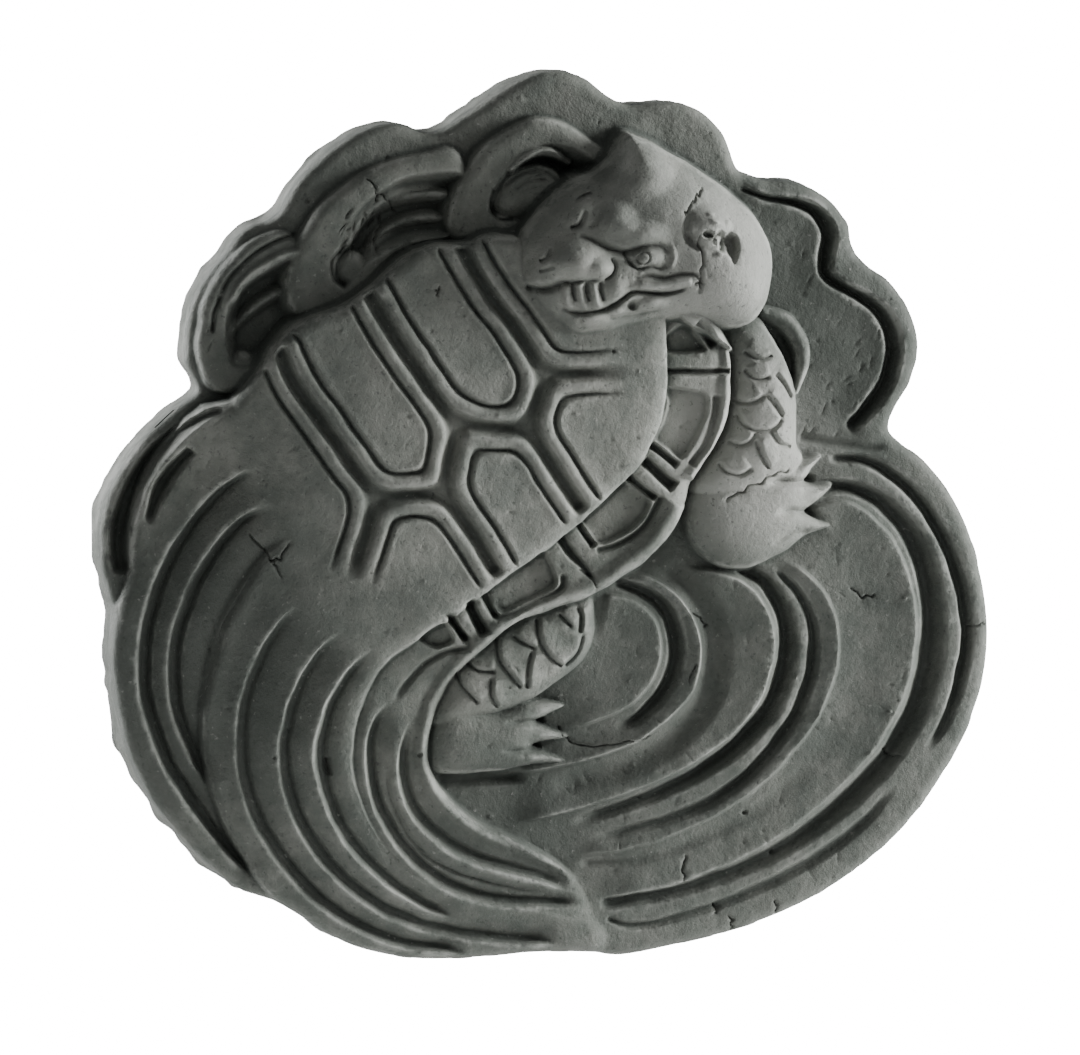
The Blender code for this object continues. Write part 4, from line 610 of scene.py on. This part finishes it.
def legs(r):
    # front leg and foot
    thigh = [44, 52, 54, 51, 58.5, 45.5, 62, 39, 64.2, 32, 65, 24, 65, 17.5, 66.5, 13, 60, 4, 48, 2, 38, 4,
        36.5, 8, 40, 13, 44, 19, 46.8, 27, 47, 36]
    r.pillow(thigh, 20, 10.5, 11)
    scales(r, FRONT_SCALES)
    foot = [36.5, 6, 36, -3, 38.5, -9, 44, -13.4, 51, -14.3, 58, -12, 64, -8.5, 68, -5.5, 74, -3.4,
        70, -1.5, 67.5, 0.5, 71, 3.5, 74.5, 7, 70, 7, 67.5, 8, 69, 11, 71.5, 14.5, 66, 13.8, 59, 12.8,
        53, 12, 46, 10]
    r.pillow(foot, 20, 10, 12, fillet=0.8)
    r.cut([55, 8, 60, 8.6, 65, 8.2, 69, 8], 3.6, 2.2, (6, 0), sharp=1.4)
    r.cut([57, 0, 62, 0.8, 66, 0.4, 69, 0], 3.6, 2.2, (6, 0), sharp=1.4)
    r.cut([57, -8, 62, -5.6, 68, -4.4], 2.6, 1, (4, 1), sharp=1.4)
    # hind leg and foot
    thigh = [-22, -34, -12, -27, 0, -21.5, 11, -19.5, 13, -26, 12.3, -32.5, 8.5, -38.5, 2, -43.5, -6, -48.5,
        -20, -53, -31, -52]
    r.pillow(thigh, 19, 9, 9)
    scales(r, HIND_SCALES)
    foot = [-28, -47.5, -14, -49, -5, -46.8, 5, -48.3, 0.5, -51, -2, -53, 6, -56.6, 0, -58, -3, -59.4,
        5, -63, -3, -63.8, -10, -65, -20, -66, -31, -64]
    r.pillow(foot, 18.5, 8.5, 8, fillet=0.8)
    r.cut([-12, -52.6, -6, -52.4, -1, -52.6], 3, 1.8, (5, 0), sharp=1.4)
    r.cut([-13, -59.4, -7, -59.6, -2, -59.6], 3, 1.8, (5, 0), sharp=1.4)
    r.cut([-29, -67.5, -18, -67.6, -4, -67], 5, 2.5, (3, 4))


def scales(r, lines):
    """Overlapping scales: each line is a scale's lower edge, raised above the skin outside it."""
    for line in lines:
        r.swell(line, 1.1, 5, side=1, fade=1, power=1.2)
        r.crease(line, 2.2, 1.2, 0.8)


# soft forms of the face as (x, z, half width, half height, rise, turn, roundness)
FEATURES = [(13.5, 75, 6.5, 5, 2.4, 20, 0.8), (20, 71.8, 8, 4, 2.8, -8, 0.6),
    (4, 76.5, 5, 4.5, 1.4, 30, 0.8), (3.5, 64.8, 9.5, 6.6, 4.8, -10, 0.7), (10.4, 62.9, 3.8, 3.4, 2.2, 0, 0.4),
    (-3, 62.6, 5, 4.6, 1.4, 0, 0.6), (40, 58, 16, 13, 2.5, 0, 1), (28, 76, 12, 7, 1.2, 0, 1),
    (7.6, 49.8, 6, 3.2, 2, 10, 0.6)]
# broken clay in the ear, in the same order but for the roundness
SHARDS = [(36.6, 71.4, 1.7, 1.3, -3.2, 0), (39.6, 70.4, 1.6, 1.1, 1.6, 20), (41.6, 68.2, 1.3, 1.8, 1.8, 30),
    (42.6, 71.4, 1.2, 1, -1.4, 0), (39, 74.4, 2.4, 1.2, 1, -20), (33, 71, 1.6, 1.2, -0.8, 40),
    (37.6, 76.6, 1.4, 0.9, 0.8, 0)]


def head(r):
    """The head, turned to the front: horn, brows, snout, eyes, mouth and the broken ear."""
    loop = [-9.5, 70, -5, 76.5, 0, 82, 5.5, 85.5, 10.5, 87.6, 14, 91.4, 18.4, 96.4, 22.4, 95.8, 28, 93.4,
        37, 88, 46, 82, 52.5, 75.5, 56.2, 67.5, 56.6, 60, 54.6, 53, 50, 48.2, 43, 47.4, 36, 49.6, 28, 48.8,
        18, 46.6, 10, 44.8, 4, 45.3, -2, 50, -7, 55.5, -10, 62]
    r.pillow(loop, 27, 19.3, 14.5, steep=5, fillet=0.8)
    # horn: a blunt cone, with a fold where it leaves the skull
    r.bump(21, 90, 12, 10, 3.4, turn=60, power=0.8)
    r.cut([7, 86.8, 13, 86, 20, 86.2, 26, 87.6], 5.5, 0.7, (3, 6))
    # brows, snout, flared nostril and cheek
    for feature in FEATURES:
        r.bump(*feature)
    # far eye, far nostril and the wrinkles beside them
    r.crease([2.4, 73.2, 4.6, 73.8, 5.6, 75.4, 6.4, 77.6], 2.2, [2, 2.4, 1.4, 0.6])
    r.crease([4, 79.4, 6.4, 80.9, 8.7, 81.8], 1.7, [0.8, 1.7, 1.2])
    r.cut([6.8, 72.6, 8.8, 75, 10.4, 77.8], 1.6, 0.6, 1)
    r.crease([-5, 64.5, -3.2, 65.7, -2, 68.6], 2, [2, 1.8, 0.8], 0.5)
    r.cut([-5.2, 62.2, -1.4, 63.3], 1.5, 1, 0.5)
    # near eye: heavy brow, lids, pupil and the fold at its outer corner
    r.cut([4.4, 71.4, 8, 70, 12, 68, 16, 67.1, 20, 68.3, 25, 68.5, 27.2, 66.6],
        [2.5, 3.2, 3.6, 3.4, 2.4, 2], [0.8, 1.8, 2.6, 2.8, 1.8, 1.2, 0.6], 1, sharp=1.3)
    r.bump(21.2, 65.6, 5.4, 3.2, 2, 0, 0.5)
    r.crease([15.6, 67.2, 16.8, 64.8, 19.4, 62.9, 22.4, 63.3, 25, 62.8, 26.8, 64], 1.9,
        [1.2, 1.9, 1.7, 1.1, 0.8], (0.6, 0.8))
    r.bump(18.2, 65.2, 2.3, 2.2, -1.5, 0, 0.5)
    r.cut(ring(20.5, 65.5, 1.5) + [(22, 65.5)], 1.1, 0.9, 0, sharp=1)
    r.ridge([27.5, 68.6, 28.2, 65.6, 27.4, 62.6], 2, 0.7, 1)
    r.crease([12.2, 65.8, 13.3, 63.6, 12.6, 61.3, 10.6, 60.2], 1.9, [1, 2, 2, 1.2])
    # the far corner of the mouth, the upper lip and its upright folds
    r.cut([-7.6, 58.5, -3.5, 58, 0.4, 59.4, 5, 60, 10, 60.4], [2.4, 4, 3.2, 1.8, 1.6],
        [1.2, 3, 2.4, 1.2, 0.9], 1, sharp=1.3)
    for x in (1.6, 5, 8.6):
        r.ridge([(x - 0.3, 60), (x, 57.2), (x + 0.7, 54.6), (x + 2.2, 53)], [2.6, 3, 2.4], [1.2, 1.7, 0.8],
            1)
        r.crease([(x + 1.6, 60), (x + 1.8, 57.3), (x + 2.6, 54.9)], 1.5, [1.4, 1.9, 0.8], 0.5)
    r.bump(13.9, 57.8, 3.4, 4.2, 1.5, -20, 0.6)
    # the slit of the mouth, the two lips to its right, and the chin
    r.cut([0.5, 53.4, 5, 52, 9, 52.1, 13, 53.3, 16, 55.5, 18.6, 57.1, 24, 56.6, 28, 57, 31.8, 58.1],
        [2, 2.2, 2.4, 2.6, 2.4, 1.6], [0.8, 1.8, 2, 2.6, 2.6, 2.2, 1.2], 1, sharp=1.3)
    r.ridge([19.4, 59.1, 24, 58.5, 29, 59.4, 33.2, 59.7], [2.8, 3.2, 3.2, 2.4], [1.2, 2.1, 2.1, 1.2], 1)
    r.cut([18, 60.6, 22, 61, 25.5, 60.3, 30, 61.3, 33.6, 61.5, 35.3, 59.6, 34.9, 56.4], 1.7,
        [0.8, 1.2, 1.2, 1.3, 0.8], 1)
    r.bump(23.6, 54, 4.8, 2.2, 2, 6, 0.4)
    r.bump(14.7, 52, 2.6, 1.8, 1.4, 0, 0.5)
    r.bump(18.4, 53.6, 1.7, 1.7, -2.6, 0, 0.3)
    r.cut([12, 50.4, 16.5, 51, 20.5, 51.4, 26, 52.6], 2.2, [0.6, 1.2, 1.2, 0.5], 1)
    r.cut([5.4, 51, 5.6, 49, 6.8, 47.8], 1.4, 0.9, 0.5)
    # the broken ear: a rough stump beside a ragged pit
    r.bump(37.6, 73.6, 6.4, 6, 3.2, 0, 0.3)
    r.cut([32.6, 77.4, 31.4, 73.6, 32.2, 69.6, 35.4, 67.4], 3, [0.6, 1.6, 2.2, 0.8], 1)
    i, s = r.inside(curve([36.8, 71.2, 39.8, 72.6, 42.2, 71.6, 44.8, 71.4, 45.4, 67.4, 43.6, 63.8,
        41.8, 66.2, 39.6, 67.2, 39.2, 69.4], True), 0.5, 3)
    r.h[i] -= 4.0 * ease(s, -0.2, 1.6)
    for shard in SHARDS:
        r.bump(*shard, 0.2)


def rim_round(r):
    """Rounds the tile's own edge over."""
    closed = curve(OUTLINE, True)
    i, s = r.inside(closed, 3, 4)
    radius = EDGE_RADIUS * SKETCH_WIDTH / WIDTH
    inner = np.clip(radius - s, 0, radius)
    drop = radius - np.sqrt(np.clip(radius**2 - inner**2, 0, None))
    r.h[i] -= drop


def noise(points, size, seed):
    """Smooth seeded noise from -1 to 1 over (x, z), with lumps about size across."""
    rng = np.random.default_rng(seed)
    table = rng.uniform(-1, 1, (97, 97))
    at = np.asarray(points) / size + 48.3
    cell = np.floor(at).astype(int)
    t = at - cell
    t = t * t * (3 - 2 * t)
    i, j = cell[:, 0] % 97, cell[:, 1] % 97
    i1, j1 = (i + 1) % 97, (j + 1) % 97
    low = table[i, j] * (1 - t[:, 0]) + table[i1, j] * t[:, 0]
    high = table[i, j1] * (1 - t[:, 0]) + table[i1, j1] * t[:, 0]
    return low * (1 - t[:, 1]) + high * t[:, 1]


def age(r):
    """Cracks, pits, drag marks and the uneven skin of hand-pressed clay."""
    for path in CRACKS:
        crack(r, path)
    for x, z, size, deep in PITS:
        r.bump(x, z, size, size * 0.75, -deep, 30, 0)
    r.cut([-56.9, -59.4, -56.6, -62, -56, -65], 2.6, 3.2, 1, sharp=1)
    rng = np.random.default_rng(11)
    for _ in range(SPECKS):
        x, z = rng.uniform(-108, 112), rng.uniform(-110, 108)
        size = rng.uniform(0.35, 0.9)
        r.bump(x, z, size, size * rng.uniform(0.6, 1), rng.choice([-0.35, -0.25, 0.3]),
            rng.uniform(0, 180), 0)
    for spot, spread, count, long, turn, cut in SCRATCHES:
        for _ in range(count):
            x, z = np.array(spot) + rng.uniform(-1, 1, 2) * spread
            half = long * rng.uniform(0.3, 0.6)
            a = math.radians(turn + rng.normal(0, 22))
            dx, dz = half * math.cos(a), half * math.sin(a)
            r.cut([(x - dx, z - dz), (x, z + 0.2 * half), (x + dx, z + dz)],
                0.9 + 0.3 * cut, cut, half, sharp=1)
    for x, z in rng.normal((41.4, 68.8), 1.7, (12, 2)):
        r.bump(x, z, 1.1, 0.8, rng.choice([-0.7, 0.6]), rng.uniform(0, 180), 0)
    r.h += sum(high * noise(r.p, size, seed) for high, size, seed in SKIN)


# scratches as (middle, half spread, how many, length, direction, depth)
SCRATCHES = [((-47, 72.5), (5.5, 5.5), 26, 5, 62, 1.3), ((-84.5, 47), (1.8, 8), 7, 6, 78, 0.7),
    ((-1, 83.5), (5, 3), 9, 6, 20, 0.5), ((72, 42), (16, 26), 30, 5, 60, 0.35),
    ((55, 90), (30, 8), 14, 5, 20, 0.35), ((45, -50), (60, 50), 70, 5, 120, 0.3),
    ((-60, 5), (35, 30), 30, 4, 60, 0.25), ((40, 62), (14, 12), 10, 4, 100, 0.25)]


def crack(r, path):
    """A thin jagged crack along a path of (x, z) points."""
    rng = np.random.default_rng(int(abs(path[0] * 131 + path[1] * 17)) + 5)
    line = curve(path, per=4)
    r.cut(line + rng.normal(0, 0.3, line.shape), 1.1, 1.2, (1, 2), sharp=1)


CRACKS = [
    [-76, -3.5, -73, -7, -71, -9.5, -69, -9, -66, -4.5], [-71.5, -9, -69.5, -11.5, -68, -15],
    [111, -30.5, 113.5, -30, 116.5, -29], [6.5, -13, 9.5, -14.5, 10.8, -17, 10.5, -19.5],
    [36.5, -87.5, 35.7, -91, 36.3, -95.5], [43, -100, 44.2, -102, 43.8, -104.5],
    [60, -100.5, 61, -102, 60.6, -104.5], [48, -104.5, 49, -106, 48.6, -108.5],
    [-46, 85, -43, 82, -40, 79.5, -37, 77], [-43, 82, -43.5, 79], [30.8, 76, 32.2, 78.6, 35, 81, 36, 83],
    [34.8, 71, 35.4, 66, 35, 61, 36.4, 56.5], [33.5, 59.5, 36.5, 58.8], [37, -24.4, 41, -28, 41.5, -30],
    [39, -38, 37, -44], [88, -61, 92, -63.5, 95, -63], [45, 3, 50, 6.5, 56, 9, 62, 12.5],
    [3, -54, 6, -57.5, 11, -59.5, 20, -58.8, 28, -57], [80, -20, 84, -22, 86, -21],
    [-29, 59, -30, 57, -29, 55.5]]
# (x, z, half width, depth)
PITS = [(52, -77.5, 0.9, 1.2), (60, -88.5, 0.8, 1), (14.5, 42, 0.6, 0.9), (-35.5, 69, 1.3, 1.6),
    (-60, 80, 0.9, 0.9), (-20, 52, 0.5, 0.6), (93.5, -22.5, 0.8, -0.8), (64, -31, 0.7, -0.8),
    (65, -43, 0.8, -0.8), (90, -52, 0.8, -0.7), (57, -52, 0.9, -0.8), (62.5, -47, 0.7, -0.7),
    (-33, -60, 0.9, 1.0), (-77, 58, 0.7, 1.2), (-70, -60, 0.6, 0.6)]


def wobble(points):
    """The points moved a little about, so that no line of the carving is quite even."""
    stray = [noise(points, 5, seed) + 0.25 * noise(points, 2.2, seed + 1) for seed in (31, 33)]
    return points + WOBBLE * np.stack(stray, 1)


def face_grid():
    """A square grid, and where its points lie when its rings are drawn out onto the outline."""
    face = bmesh.new()
    bmesh.ops.create_grid(face, x_segments=CELLS, y_segments=CELLS, size=1.0)
    u, v = np.array([p.co[:2] for p in face.verts]).T
    wide = abs(u) >= abs(v)
    far = np.where(wide, u, v)
    far = np.where(far == 0, 1.0, far)
    turn = np.pi / 4 * np.where(wide, v / far, 2 - u / far) + np.pi * (far < 0)
    edge = curve(OUTLINE, True, 24)
    bearing = np.arctan2(edge[:, 1], edge[:, 0])
    order = np.argsort(bearing)
    reach = np.interp(turn, bearing[order], np.hypot(*edge[order].T), period=2 * np.pi)
    share = np.maximum(abs(u), abs(v)) * reach
    return face, np.stack([share * np.cos(turn), share * np.sin(turn)], 1)


def add_wall(face):
    """The side wall down to the back, uneven, with a few flakes of clay left on the back edge."""
    rim = [e for e in face.edges if e.is_boundary]
    for step in range(WALL_STEPS, 0, -1):
        wall = bmesh.ops.extrude_edge_only(face, edges=rim)["geom"]
        rim = [e for e in wall if isinstance(e, bmesh.types.BMEdge) and e.is_boundary]
        fresh = [v for v in wall if isinstance(v, bmesh.types.BMVert)]
        flat = np.array([(v.co.x, v.co.z) for v in fresh]) * 1000
        lump = 0.25 * noise(flat + step * 3.1, 7, 21) + 0.12 * noise(flat + step * 5.3, 2.4, 22)
        depth = (step - 1) / WALL_STEPS
        flakes = sum(np.exp(-((flat[:, 0] - x)**2 + (flat[:, 1] - z)**2) / FLAKE_WIDTH**2)
                     for x, z in FLAKES)
        flakes *= FLAKE_OUT * max(0.0, 1 - depth * FLAKE_FADE)
        for v, bulge in zip(fresh, (WALL_LUMPS * lump + flakes) * 0.001):
            drop = -v.co.y / step
            lean = DRAFT * drop + bulge / (2 if step == WALL_STEPS else 1)
            out = 1 + lean / np.hypot(v.co.x, v.co.z)
            v.co = (v.co.x * out, v.co.y + drop, v.co.z * out)


# flakes of clay that show behind the rim
FLAKES = [(-71.7, 76.7), (-87.5, 64.5), (-93.6, 57.9), (-94.7, 51.3), (-58.3, 92.5), (-110, -57.6),
    (-107.6, -68.6), (-97.7, -79), (-87.5, -90), (-78.9, -96), (-112, -8)]


def thin_out(mesh, triangles):
    """The mesh with only as many triangles as its detail needs."""
    carving = bpy.data.objects.new("carving", mesh)
    bpy.context.scene.collection.objects.link(carving)
    thin = carving.modifiers.new("thin", "DECIMATE")
    thin.ratio = triangles / (2.0 * len(mesh.polygons))
    graph = bpy.context.evaluated_depsgraph_get()
    result = bpy.data.meshes.new_from_object(carving.evaluated_get(graph))
    bpy.data.objects.remove(carving, do_unlink=True)
    return result


def close_back(mesh):
    """Lays the open edge flat and closes it with a fan round the middle of the back."""
    solid = bmesh.new()
    solid.from_mesh(mesh)
    middle = solid.verts.new((0, 0, 0))
    for edge in [e for e in solid.edges if e.is_boundary]:
        for v in edge.verts:
            v.co.y = 0.0
        solid.faces.new((*edge.verts, middle))
    bmesh.ops.recalc_face_normals(solid, faces=solid.faces)
    solid.to_mesh(mesh)
    solid.free()


def blur(raster, reach):
    """A soft average of a height raster over reach cells."""
    kernel = np.hanning(2 * reach + 1)
    kernel /= kernel.sum()
    for axis in (0, 1):
        raster = np.apply_along_axis(lambda row: np.convolve(np.pad(row, reach, "edge"),
            kernel, "valid"), axis, raster)
    return raster


def mark_wear_and_shading(mesh, scale):
    """Stores how far each point stands out of, or lies below, the clay around it, for the dust, the painted
    highlight and the painted shade in the clay's colour.
    """
    x = np.arange(-WEAR_AND_SHADING_HALF, WEAR_AND_SHADING_HALF, WEAR_AND_SHADING_CELL)
    grid = np.stack([a.ravel() for a in np.meshgrid(x, x)], 1)
    high = carve(grid).reshape(len(x), len(x))
    spots = np.empty(len(mesh.vertices) * 3)
    mesh.vertices.foreach_get("co", spots)
    spots = spots.reshape(-1, 3)
    i, j = (np.clip((spots[:, axis] / scale + WEAR_AND_SHADING_HALF) / WEAR_AND_SHADING_CELL, 0, len(x) - 1.001)
            for axis in (0, 2))
    i0, j0 = i.astype(int), j.astype(int)
    a, b = i - i0, j - j0
    for name, cells in (("wear_and_shading", WEAR_AND_SHADING_NEAR), ("sunk", SHADING_WIDE)):
        field = high - blur(high, cells)
        value = ((field[j0, i0] * (1 - a) + field[j0, i0 + 1] * a) * (1 - b)
                 + (field[j0 + 1, i0] * (1 - a) + field[j0 + 1, i0 + 1] * a) * b)
        value[spots[:, 1] > WEAR_AND_SHADING_BEHIND] = 0
        mesh.attributes.new(name, "FLOAT", "POINT").data.foreach_set("value", value.astype(np.float32))


def stay_in_box(mesh):
    """Pulls in any point that wear and flakes have put outside the solid's box."""
    low, high = CAD_BOX
    for v in mesh.vertices:
        v.co = [min(max(c, a), b) for c, a, b in zip(v.co, low, high)]


def tile_mesh():
    """The carved front on its fine grid, thinned, with the side wall and the back."""
    scale, deep = WIDTH / SKETCH_WIDTH, DEPTH / SKETCH_DEPTH
    face, flat = face_grid()
    for p, (x, z), high in zip(face.verts, flat, carve(wobble(flat), age)):
        p.co = (x * scale, -high * deep, z * scale)
    add_wall(face)
    fine = bpy.data.meshes.new("fine")
    face.to_mesh(fine)
    face.free()
    mesh = thin_out(fine, TRIANGLES)
    close_back(mesh)
    stay_in_box(mesh)
    mark_wear_and_shading(mesh, scale)
    mesh.shade_smooth()
    mesh.set_sharp_from_angle(angle=math.radians(SHARP_ANGLE))
    return mesh


def node(tree, kind, **inputs):
    """A new node, its inputs set or linked by name."""
    made = tree.nodes.new(kind)
    for name, value in inputs.items():
        fill(tree, made.inputs[name.replace("_", " ")], value)
    return made


def fill(tree, socket, value):
    if isinstance(value, bpy.types.NodeSocket):
        tree.links.new(value, socket)
    else:
        socket.default_value = value


def ramp(tree, value, low, high, to_low=0.0, to_high=1.0):
    """A smooth step from to_low, where value is low, to to_high, where it is high."""
    made = node(tree, "ShaderNodeMapRange", Value=value, From_Min=low, From_Max=high, To_Min=to_low,
        To_Max=to_high)
    made.interpolation_type = "SMOOTHSTEP"
    return made.outputs["Result"]


def tint(tree, share, first, second):
    """A share of the second colour over the first."""
    made = node(tree, "ShaderNodeMix")
    made.data_type = "RGBA"
    for index, value in ((0, share), (6, first), (7, (*second, 1))):
        fill(tree, made.inputs[index], value)
    return made.outputs[2]


# darker and paler patches as (middle, inner and outer radius, share, colour): painted shade under both feet,
# on the left lobe, on the left tail and over the brow; painted light on the front leg and the cheek, which
# face the window; only darker on the upper right ground and on the shell
SHADE_LIGHT_AND_DARK_PATCHES = [((0.078, -0.02, 0.05), 0.02, 0.055, 0.8, (0.046, 0.053, 0.045)),
    ((0.034, -0.02, -0.016), 0.01, 0.034, 0.6, (0.06, 0.068, 0.058)),
    ((-0.082, -0.02, 0.05), 0.015, 0.045, 0.3, (0.06, 0.07, 0.062)),
    ((-0.085, -0.02, -0.035), 0.02, 0.058, 0.8, (0.056, 0.064, 0.056)),
    ((0.055, -0.032, 0.016), 0.012, 0.034, 0.6, (0.34, 0.346, 0.32)),
    ((0.044, -0.045, 0.066), 0.008, 0.026, 0.5, (0.33, 0.334, 0.31)),
    ((-0.03, -0.03, 0.045), 0.008, 0.03, 0.4, (0.06, 0.067, 0.058)),
    ((-0.008, -0.02, -0.074), 0.008, 0.034, 0.7, (0.05, 0.058, 0.05)),
    ((0.022, -0.045, 0.073), 0.008, 0.024, 0.45, (0.07, 0.078, 0.068))]


def clay():
    """Matt grey fired clay: mottled, dusty and with a painted highlight on standing edges, painted shade in
    the creases and hollows, patches of painted shade and painted light, sandy close up.
    """
    made = bpy.data.materials.new("grey_clay")
    made.use_nodes = True
    tree = made.node_tree
    shader = tree.nodes["Principled BSDF"]
    where = node(tree, "ShaderNodeTexCoord").outputs["Object"]

    def cloud(scale, detail, rough=0.6):
        return node(tree, "ShaderNodeTexNoise", Vector=where, Scale=scale, Detail=detail,
            Roughness=rough).outputs["Fac"]

    def stored(name):
        kept = node(tree, "ShaderNodeAttribute")
        kept.attribute_name = name
        return kept.outputs["Fac"]

    def distance(spot):
        away = node(tree, "ShaderNodeVectorMath")
        away.operation = "DISTANCE"
        tree.links.new(where, away.inputs[0])
        away.inputs[1].default_value = spot
        return away.outputs["Value"]

    # how far the clay stands out: dust and painted highlight on standing edges, painted shade in creases; how
    # far it lies below: painted shade in hollows
    wear_and_shading, sunk = stored("wear_and_shading"), stored("sunk")
    broad, patch, speck, grit = cloud(22, 3), cloud(95, 5, 0.7), cloud(700, 3), cloud(2600, 2)
    depth = node(tree, "ShaderNodeSeparateXYZ", Vector=where).outputs["Y"]
    # paler on standing edges: partly dust, partly a painted highlight
    dust_and_highlight = node(tree, "ShaderNodeMath")
    dust_and_highlight.operation = "MULTIPLY"
    tree.links.new(ramp(tree, wear_and_shading, 0.05, 0.9), dust_and_highlight.inputs[0])
    tree.links.new(ramp(tree, patch, 0.3, 0.62), dust_and_highlight.inputs[1])

    # layers of colour as (mask, its value at none and at full, share, colour): random mottling, then painted
    # shade in the hollows and painted shade in the creases
    layers = [(patch, 0.42, 0.75, 0.7, (0.21, 0.213, 0.192)), (patch, 0.5, 0.28, 0.65,
        (0.083, 0.095, 0.085)), (sunk, -1.0, -6.0, 0.7, (0.048, 0.056, 0.049)), (wear_and_shading, -0.08, -0.8, 0.8,
        (0.03, 0.037, 0.031))]
    # patches of painted shade and painted light, and two that are only darker
    layers += [(distance(spot), outer, inner, share, tone) for spot, inner, outer, share, tone in SHADE_LIGHT_AND_DARK_PATCHES]
    # darker on the low ground and down the side wall: partly dirt in the low parts, partly painted shade; then
    # paler on the high parts, the edges' dust and painted highlight, and light and dark grain
    layers += [(depth, -0.03, -0.019, 0.42, (0.06, 0.068, 0.06)), (depth, -0.032, -0.044, 0.3,
        (0.235, 0.242, 0.222)), (dust_and_highlight.outputs[0], 0, 1, 0.5, (0.31, 0.322, 0.296)), (speck, 0.64, 0.76,
        0.35, (0.33, 0.33, 0.31)), (speck, 0.4, 0.28, 0.6, (0.045, 0.05, 0.045))]
    colour = tint(tree, ramp(tree, broad, 0.36, 0.66), (0.106, 0.116, 0.102, 1), (0.15, 0.159, 0.14))
    for mask, low, high, share, tone in layers:
        colour = tint(tree, ramp(tree, mask, low, high, 0, share), colour, tone)
    tree.links.new(colour, shader.inputs["Base Color"])
    tree.links.new(ramp(tree, patch, 0.3, 0.7, 0.94, 0.76), shader.inputs["Roughness"])
    shader.inputs["Specular IOR Level"].default_value = 0.32

    first = node(tree, "ShaderNodeBump", Height=cloud(230, 6, 0.72), Strength=0.55, Distance=0.0007)
    second = node(tree, "ShaderNodeBump", Height=speck, Strength=0.8, Distance=0.0003,
        Normal=first.outputs["Normal"])
    third = node(tree, "ShaderNodeBump", Height=grit, Strength=0.6, Distance=0.00012,
        Normal=second.outputs["Normal"])
    tree.links.new(third.outputs["Normal"], shader.inputs["Normal"])
    return made


def add_floor():
    """A pale tabletop far enough below the tile to stay out of the picture."""
    bpy.ops.mesh.primitive_plane_add(size=FLOOR_SIZE, location=(0, 0, CAD_BOX[0][2] - FLOOR_DROP))
    floor = bpy.context.object
    floor.name = "floor"
    pale = bpy.data.materials.new("pale_floor")
    pale.use_nodes = True
    shader = pale.node_tree.nodes["Principled BSDF"]
    shader.inputs["Base Color"].default_value = (0.8, 0.8, 0.8, 1)
    shader.inputs["Roughness"].default_value = 1.0
    floor.data.materials.append(pale)


def add_camera():
    """The photograph's view: almost square on, from a little to the left and above."""
    around, up = math.radians(VIEW_AZIMUTH), math.radians(VIEW_ELEVATION)
    back = Vector((math.sin(around) * math.cos(up), -math.cos(around) * math.cos(up), math.sin(up)))
    data = bpy.data.cameras.new("camera")
    data.lens = LENS
    data.sensor_width = SENSOR
    data.shift_x, data.shift_y = SHIFT
    camera = bpy.data.objects.new("camera", data)
    camera.location = Vector(LOOK_AT) + back * VIEW_DISTANCE
    camera.rotation_euler = (-back).to_track_quat("-Z", "Y").to_euler()
    bpy.context.scene.collection.objects.link(camera)
    bpy.context.scene.camera = camera


def add_lights():
    """A white room that is brighter behind the tile, with a broad soft window to the upper right."""
    world = bpy.data.worlds.new("studio")
    bpy.context.scene.world = world
    world.use_nodes = True
    tree = world.node_tree
    background = tree.nodes["Background"]
    background.inputs["Color"].default_value = (1, 1, 1, 1)
    way = node(tree, "ShaderNodeTexCoord").outputs["Generated"]
    facing = tree.nodes.new("ShaderNodeVectorMath")
    facing.operation = "DOT_PRODUCT"
    tree.links.new(way, facing.inputs[0])
    facing.inputs[1].default_value = Vector(BRIGHT_SIDE).normalized()
    room = node(tree, "ShaderNodeMapRange", Value=facing.outputs["Value"],
        From_Min=DARK_FROM, From_Max=1.0, To_Min=ROOM_DARK, To_Max=ROOM_BRIGHT)
    seen = node(tree, "ShaderNodeLightPath").outputs["Is Camera Ray"]
    glow = node(tree, "ShaderNodeMapRange", Value=seen, To_Min=room.outputs["Result"], To_Max=ROOM_SEEN)
    tree.links.new(glow.outputs["Result"], background.inputs["Strength"])
    for name, place, size, power in WINDOWS:
        data = bpy.data.lights.new(name, "AREA")
        data.shape = "DISK"
        data.size = size
        data.energy = power
        window = bpy.data.objects.new(name, data)
        window.location = place
        window.rotation_euler = (Vector(place) - Vector(LOOK_AT)).to_track_quat("Z", "Y").to_euler()
        bpy.context.scene.collection.objects.link(window)


tile = bpy.data.objects.new("carved_tile", tile_mesh())
bpy.context.scene.collection.objects.link(tile)
tile.data.materials.append(clay())
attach(tile, "root")
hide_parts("tile")

add_floor()
add_camera()
add_lights()
